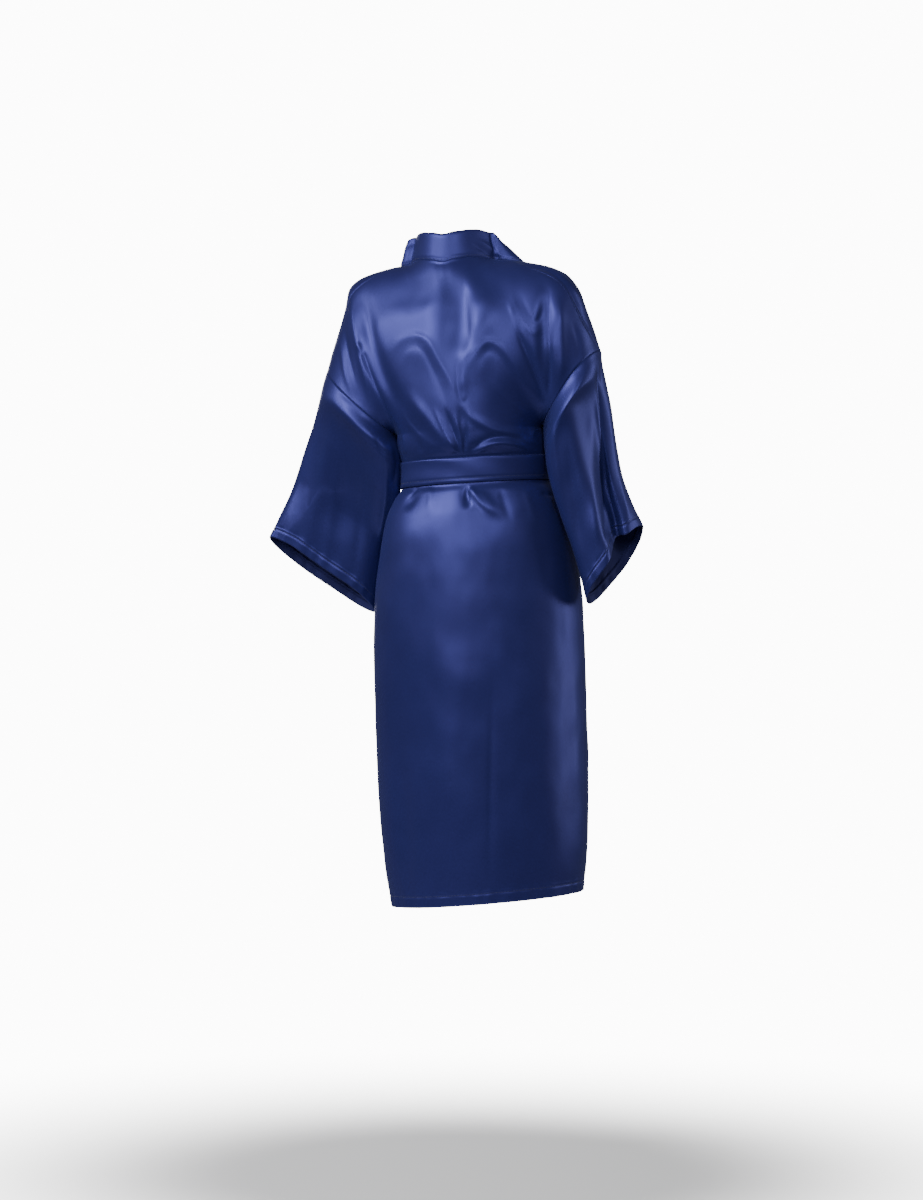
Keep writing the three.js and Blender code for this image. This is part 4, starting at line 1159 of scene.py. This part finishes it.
def make_belt_ring(sizes):
    across = np.linspace(0, 1, BELT_STEPS)
    angles = np.linspace(0, 2 * math.pi, BELT_SIDES, endpoint=False)
    share, angle = np.meshgrid(across, angles, indexing="ij")
    z = BELT_Z + BELT_WIDTH * (0.5 - share)
    edges = smooth(np.minimum(share, 1 - share) / EDGE_SHARE)
    near_knot = smooth((np.cos(angle - math.pi - GATHERS_TURN) - GATHERS_FROM) / GATHERS_OVER)
    z = mix(z, BELT_Z + BELT_WIDTH * (0.5 - share) * PINCHED_AT_KNOT, near_knot)
    pleat = near_knot * np.cos(share * BELT_PLEATS * math.pi)
    stitched = belt_groove(share * BELT_WIDTH - BELT_WIDTH + BELT_HEM)
    wave = 0.35 * np.sin(angle * 5 + 1.2) * np.sin(angle * 3)
    wave = wave + 0.3 * np.sin(share * 5 + 4 * np.sin(angle * 2))
    rise = BELT_THICK + EDGE_ROLL * (edges - 1) + stitched + (pleat + wave * BELT_WAVES) * edges
    outer = belt_point(angle, z, rise)
    inside = stack(lean(outer[..., 2]), 0, outer[..., 2])
    normals = facing_out(grid_normals(outer, tube=True), outer, inside)
    cloth = satin("Navy satin belt", sizes)
    piece = cloth_wall("belt_ring", outer, normals, BELT_THICK - EDGE_ROLL, cloth, tube=True)
    ring = closed(int(round((1 - BELT_HEM / BELT_WIDTH) * (BELT_STEPS - 1))), outer, normals)
    sewing = sew(piece, "belt_stitches", [ring], sizes, "belt", "belt_satin")


def make_knot(sizes):
    """The belt's knot: one turn of the band over the crossing, with its gathers."""
    rings, sides = KNOT_RINGS, KNOT_SIDES
    angles = np.linspace(0, 2 * math.pi, sides, endpoint=False)
    up, round_way = np.meshgrid(np.linspace(0, math.pi, rings), angles, indexing="ij")
    x = np.sin(up) * np.cos(round_way)
    y = np.sin(up) * np.sin(round_way)
    z = np.cos(up)
    squared_x = np.sign(x) * np.abs(x) ** KNOT_CORNERS
    squared_z = np.sign(z) * np.abs(z) ** KNOT_CORNERS
    slant = squared_x + KNOT_GATHER_SLANT * squared_z
    waves = np.cos(slant * KNOT_GATHERS + 0.6 * np.sin(squared_z * 3))
    gathers = KNOT_GATHER_HEIGHT * waves * np.exp(-((squared_z / 0.9) ** 4))
    pinch = 1 - KNOT_PINCH * np.exp(-((squared_z / 0.5) ** 2))
    front_face = np.where(y < 0, 1.0, KNOT_GATHERS_BEHIND)
    centre_y = belt_point(np.array(math.pi), BELT_Z, BELT_THICK)[1] - SEAM_GAP - KNOT_HALF_DEPTH
    points = stack(
        squared_x * KNOT_HALF_WIDTH * pinch + KNOT_X + lean(BELT_Z),
        y * KNOT_HALF_DEPTH * (1 + gathers * KNOT_GATHERS_OUT * front_face) + centre_y,
        squared_z * KNOT_HALF_HEIGHT * (1 + KNOT_GATHERS_UP * gathers) + BELT_Z,
    )
    index = np.arange(rings * sides).reshape(rings, sides)
    index = np.hstack([index, index[:, :1]])
    inner = index[1:-1]
    a, b = inner[:-1, :-1].ravel(), inner[1:, :-1].ravel()
    c, d = inner[1:, 1:].ravel(), inner[:-1, 1:].ravel()
    faces = np.stack([a, b, c, d], 1).tolist()
    faces += [(index[0, 0], index[1, j], index[1, j + 1]) for j in range(sides)]
    faces += [(index[-1, 0], index[-2, j + 1], index[-2, j]) for j in range(sides)]
    flat = points.reshape(-1, 3)
    uv = stack(round_way * KNOT_CLOTH, up * KNOT_CLOTH).reshape(-1, 2)
    # Each end of the knot is one point, so its other copies go
    keep = np.concatenate([[0], np.arange(sides, (rings - 1) * sides), [(rings - 1) * sides]])
    renumber = np.zeros(len(flat), dtype=int)
    renumber[keep] = np.arange(len(keep))
    faces = [tuple(int(renumber[v]) for v in face) for face in faces]
    cloth = satin("Navy satin belt", sizes)
    piece = build_mesh("belt_knot_wrap", flat[keep], faces, cloth, uv[keep], np.zeros(len(keep)))
    sewn(piece, "belt_knot", slot="belt_satin")


def make_tail(sizes, tail):
    across = np.linspace(-0.5, 0.5, BELT_STEPS)
    down, share = np.meshgrid(np.linspace(0, 1, TAIL_ROWS), across, indexing="ij")
    z = mix(tail["top"], tail["bottom"], down)
    middle = mix(tail["start"], tail["end"], down**TAIL_SWAY) + tail["wave"] * np.sin(2 * math.pi * down)
    gathered = 1 - TAIL_GATHERED * (1 - smooth(down / TAIL_GATHERED_BY))
    x = middle + share * TAIL_WIDTH * gathered
    half = section_half(z)
    bow = TAIL_BOW * np.cos(math.pi * share) * down
    y = -section_depth[-1](z) * np.sqrt(np.clip(1 - (x / half) ** 2, 0, 1)) - tail["proud"] - bow
    pleats = (1 - smooth(down / TAIL_PLEATS_BY)) * TAIL_PLEAT_DEPTH * np.cos(share * TAIL_PLEATS * math.pi)
    swing = TAIL_SWING * np.sin(down * 9 + tail["wave"]) * smooth(down / TAIL_SWINGS_BY) * (0.5 + share)
    points = stand(stack(x, y - pleats - swing, z))
    inside = stack(points[..., 0], 0, points[..., 2])
    normals = facing_out(grid_normals(points), points, inside)
    stitched = belt_groove((share + 0.5) * BELT_WIDTH - TAIL_SEAM)
    from_end = (tail["top"] - tail["bottom"]) * (1 - down)
    end_seam = -TAIL_END_GROOVE * np.exp(-((from_end - TAIL_END_SEAM) / TAIL_END_GROOVE_WIDTH) ** 2)
    edges = smooth((0.5 - np.abs(share)) / EDGE_SHARE)
    uneven = CRUMPLE_ON_STIFF_CLOTH * crumple(points, sizes.crumple / METRE)
    lift = stitched + end_seam + EDGE_ROLL * (edges - 1) + uneven
    outer = points + normals * lift[..., None]
    normals = facing_out(grid_normals(outer), outer, inside)
    piece = cloth_wall(tail["name"] + "_strip", outer, normals, BELT_THICK, satin("Navy satin belt", sizes))
    line = int(round(TAIL_SEAM / BELT_WIDTH * (BELT_STEPS - 1)))
    runs = [(outer[:, line], normals[:, line]), (outer[-3], normals[-3])]
    sewing = sew(piece, tail["name"] + "_stitches", runs, sizes, tail["name"], "belt_satin")


# Studio
LIGHTS = table(
    "name at aim size power",
    ("key_light", (2.3, 2.7, 2.0), (0, 0, -0.3), (0.9, 0.8), 80),
    ("back_light", (-0.9, 3.2, 1.5), (0, 0, -0.3), (0.7, 0.6), 26),
    ("low_light", (1.0, 3.4, 0.6), (0, 0, -0.4), (2.0, 0.7), 34),
    ("right_light", (-2.8, -0.5, 0.2), (0, 0, -0.4), (0.6, 2.0), 26),
    ("left_light", (3.0, 1.3, 1.3), (0.15, 0, -0.3), (0.6, 1.0), 40),
    ("front_light", (0.8, -3.0, 0.3), (0, 0, -0.4), (1.6, 1.4), 38),
)
FLOOR_RADIUS, FLOOR_SIDES = 1.2, 96
FLOOR_FADES = {"From Min": 0.25, "From Max": 1.15, "To Min": 1.0, "To Max": 0.0}


def aim(item, at, target):
    item.location = at
    item.rotation_euler = (Vector(target) - Vector(at)).to_track_quat("-Z", "Y").to_euler()


def make_stage(sizes):
    scene = bpy.context.scene
    material, tree, shader = new_material("Studio floor")
    shader.inputs["Base Color"].default_value = (*sizes.floor_colour, 1)
    shader.inputs["Roughness"].default_value = 0.7
    nodes = (
        ("place", "ShaderNodeTexCoord", {}, {}),
        ("far", "ShaderNodeVectorMath", {"operation": "LENGTH"}, {}),
        ("fades", "ShaderNodeMapRange", {"interpolation_type": "SMOOTHSTEP"}, FLOOR_FADES),
    )
    links = ("place.Object > far.0", "far.Value > fades.Value", "fades.Result > shader.Alpha")
    wire(tree, nodes, links, shader=shader)
    mesh = bpy.data.meshes.new("studio_floor")
    turns = np.linspace(0, 2 * math.pi, FLOOR_SIDES, endpoint=False)
    corners = [(math.cos(a) * FLOOR_RADIUS, math.sin(a) * FLOOR_RADIUS, 0) for a in turns]
    mesh.from_pydata(corners, [], [tuple(range(FLOOR_SIDES))])
    mesh.materials.append(material)
    floor = bpy.data.objects.new("studio_floor", mesh)
    floor.location = (0, 0, FLOOR_Z * METRE)
    scene.collection.objects.link(floor)

    world = bpy.data.worlds.new("Studio")
    scene.world = world
    world.use_nodes = True
    tree = world.node_tree
    ambient = tree.nodes["Background"]
    ambient.inputs["Color"].default_value = (0.95, 0.96, 1, 1)
    ambient.inputs["Strength"].default_value = 0.1
    shown = {"Color": (1, 1, 1, 1), "Strength": sizes.backdrop_strength}
    nodes = (
        ("backdrop", "ShaderNodeBackground", {}, shown),
        ("path", "ShaderNodeLightPath", {}, {}),
        ("chosen", "ShaderNodeMixShader", {}, {}),
    )
    links = (
        "path.Is Camera Ray > chosen.Fac",
        "ambient.Background > chosen.1",
        "backdrop.Background > chosen.2",
        "chosen.Shader > world.Surface",
    )
    wire(tree, nodes, links, ambient=ambient, world=tree.nodes["World Output"])

    for row in LIGHTS:
        lamp = bpy.data.lights.new(row["name"], "AREA")
        lamp.shape = "RECTANGLE"
        lamp.size, lamp.size_y = row["size"]
        lamp.energy = row["power"]
        item = bpy.data.objects.new(row["name"], lamp)
        aim(item, row["at"], row["aim"])
        scene.collection.objects.link(item)

    lens = bpy.data.cameras.new("photo_camera")
    lens.sensor_fit = "VERTICAL"
    lens.sensor_height = 36
    lens.lens = lens.sensor_height * CAMERA_FAR / (PHOTO_SCALE * PHOTO_SIZE[1])
    lens.shift_x = (PHOTO_SIZE[0] / 2 - PHOTO_AXIS_X) / PHOTO_SIZE[1]
    camera = bpy.data.objects.new("photo_camera", lens)
    at = CAMERA_WAY * CAMERA_FAR * METRE
    aim(camera, (at[0], at[1], CAMERA_Z * METRE), (0, 0, CAMERA_Z * METRE))
    scene.collection.objects.link(camera)
    scene.camera = camera


def size(name, description, default):
    return FloatProperty(name=name, description=description, default=default, unit="LENGTH", precision=5)


def amount(name, description, default):
    return FloatProperty(name=name, description=description, default=default)


def tint(name, description, default):
    return FloatVectorProperty(name=name, description=description, default=default, subtype="COLOR", size=3)


class RobeSizes(bpy.types.PropertyGroup):
    hem_depth: size("Hem", "Depth of the turned hem", 0.0145)
    cuff_hem_depth: size("Cuff hem", "Depth of the cuffs' hem", 0.0125)
    crease_depth: amount("Creases", "Depth of the creases, 1 as in the photograph", 1.0)
    crumple: size("Crumple", "Height of the cloth's soft unevenness", 0.0011)
    stitch_length: size("Stitch", "Length of one stitch", 0.0026)
    stitch_gap: size("Stitch gap", "Gap between stitches", 0.0009)
    stitch_radius: size("Thread", "Half thickness of the thread", 0.00024)
    satin_colour: tint("Satin", "Colour of the satin's face", (0.03, 0.033, 0.175))
    satin_roughness: amount("Roughness", "Roughness of the satin's face", 0.4)
    satin_metal: amount("Lustre", "Share of tinted reflection", 0.55)
    colour_variation: amount("Variation", "Strength of the colour's variation", 0.25)
    grain: amount("Grain", "Height of the weave in millimetres", 0.02)
    thread_colour: tint("Thread colour", "Colour of the sewing thread", (0.012, 0.02, 0.09))
    floor_colour: tint("Floor", "Colour of the studio floor", (0.86, 0.86, 0.87))
    backdrop_strength: amount("Backdrop", "Brightness of the backdrop", 12.0)


class ROBE_OT_back(bpy.types.Operator):
    """Makes the back panel with its creases and stitched hem"""

    bl_idname = "robe.back"
    bl_label = "Back panel"

    def execute(self, context):
        make_back(context.scene.robe)
        return {"FINISHED"}


class ROBE_OT_fronts(bpy.types.Operator):
    """Makes the two front panels, the left one lapped over the right"""

    bl_idname = "robe.fronts"
    bl_label = "Front panels"

    def execute(self, context):
        for side in (1, -1):
            make_front(context.scene.robe, side)
        return {"FINISHED"}


class ROBE_OT_sleeves(bpy.types.Operator):
    """Makes the two wide sleeves with their stitched cuffs"""

    bl_idname = "robe.sleeves"
    bl_label = "Sleeves"

    def execute(self, context):
        for side in (1, -1):
            make_sleeve(context.scene.robe, side)
        return {"FINISHED"}


class ROBE_OT_neckband(bpy.types.Operator):
    """Makes the folded neckband from hem to hem round the neck"""

    bl_idname = "robe.neckband"
    bl_label = "Neckband"

    def execute(self, context):
        make_neckband(context.scene.robe)
        return {"FINISHED"}


class ROBE_OT_belt(bpy.types.Operator):
    """Makes the belt with its knot and its two hanging ends"""

    bl_idname = "robe.belt"
    bl_label = "Belt"

    def execute(self, context):
        make_belt_ring(context.scene.robe)
        make_knot(context.scene.robe)
        for tail in TAILS:
            make_tail(context.scene.robe, tail)
        return {"FINISHED"}


class ROBE_OT_stage(bpy.types.Operator):
    """Makes the pale floor, the soft lights and the camera"""

    bl_idname = "robe.stage"
    bl_label = "Studio"

    def execute(self, context):
        make_stage(context.scene.robe)
        return {"FINISHED"}


class ROBE_PT_panel(bpy.types.Panel):
    bl_label = "Satin robe"
    bl_space_type = "VIEW_3D"
    bl_region_type = "UI"
    bl_category = "Robe"

    def draw(self, context):
        for name in RobeSizes.__annotations__:
            self.layout.prop(context.scene.robe, name)
        for operator in OPERATORS:
            self.layout.operator(operator.bl_idname)


OPERATORS = (ROBE_OT_belt, ROBE_OT_back, ROBE_OT_fronts, ROBE_OT_sleeves, ROBE_OT_neckband, ROBE_OT_stage)
CLASSES = (RobeSizes, *OPERATORS, ROBE_PT_panel)


def register():
    for item in CLASSES:
        bpy.utils.register_class(item)
    bpy.types.Scene.robe = PointerProperty(type=RobeSizes)


def unregister():
    del bpy.types.Scene.robe
    for item in reversed(CLASSES):
        bpy.utils.unregister_class(item)


def main():
    register()
    bpy.ops.robe.belt()
    bpy.ops.robe.back()
    bpy.ops.robe.fronts()
    bpy.ops.robe.sleeves()
    bpy.ops.robe.neckband()
    bpy.ops.robe.stage()


if __name__ == "__main__":
    main()
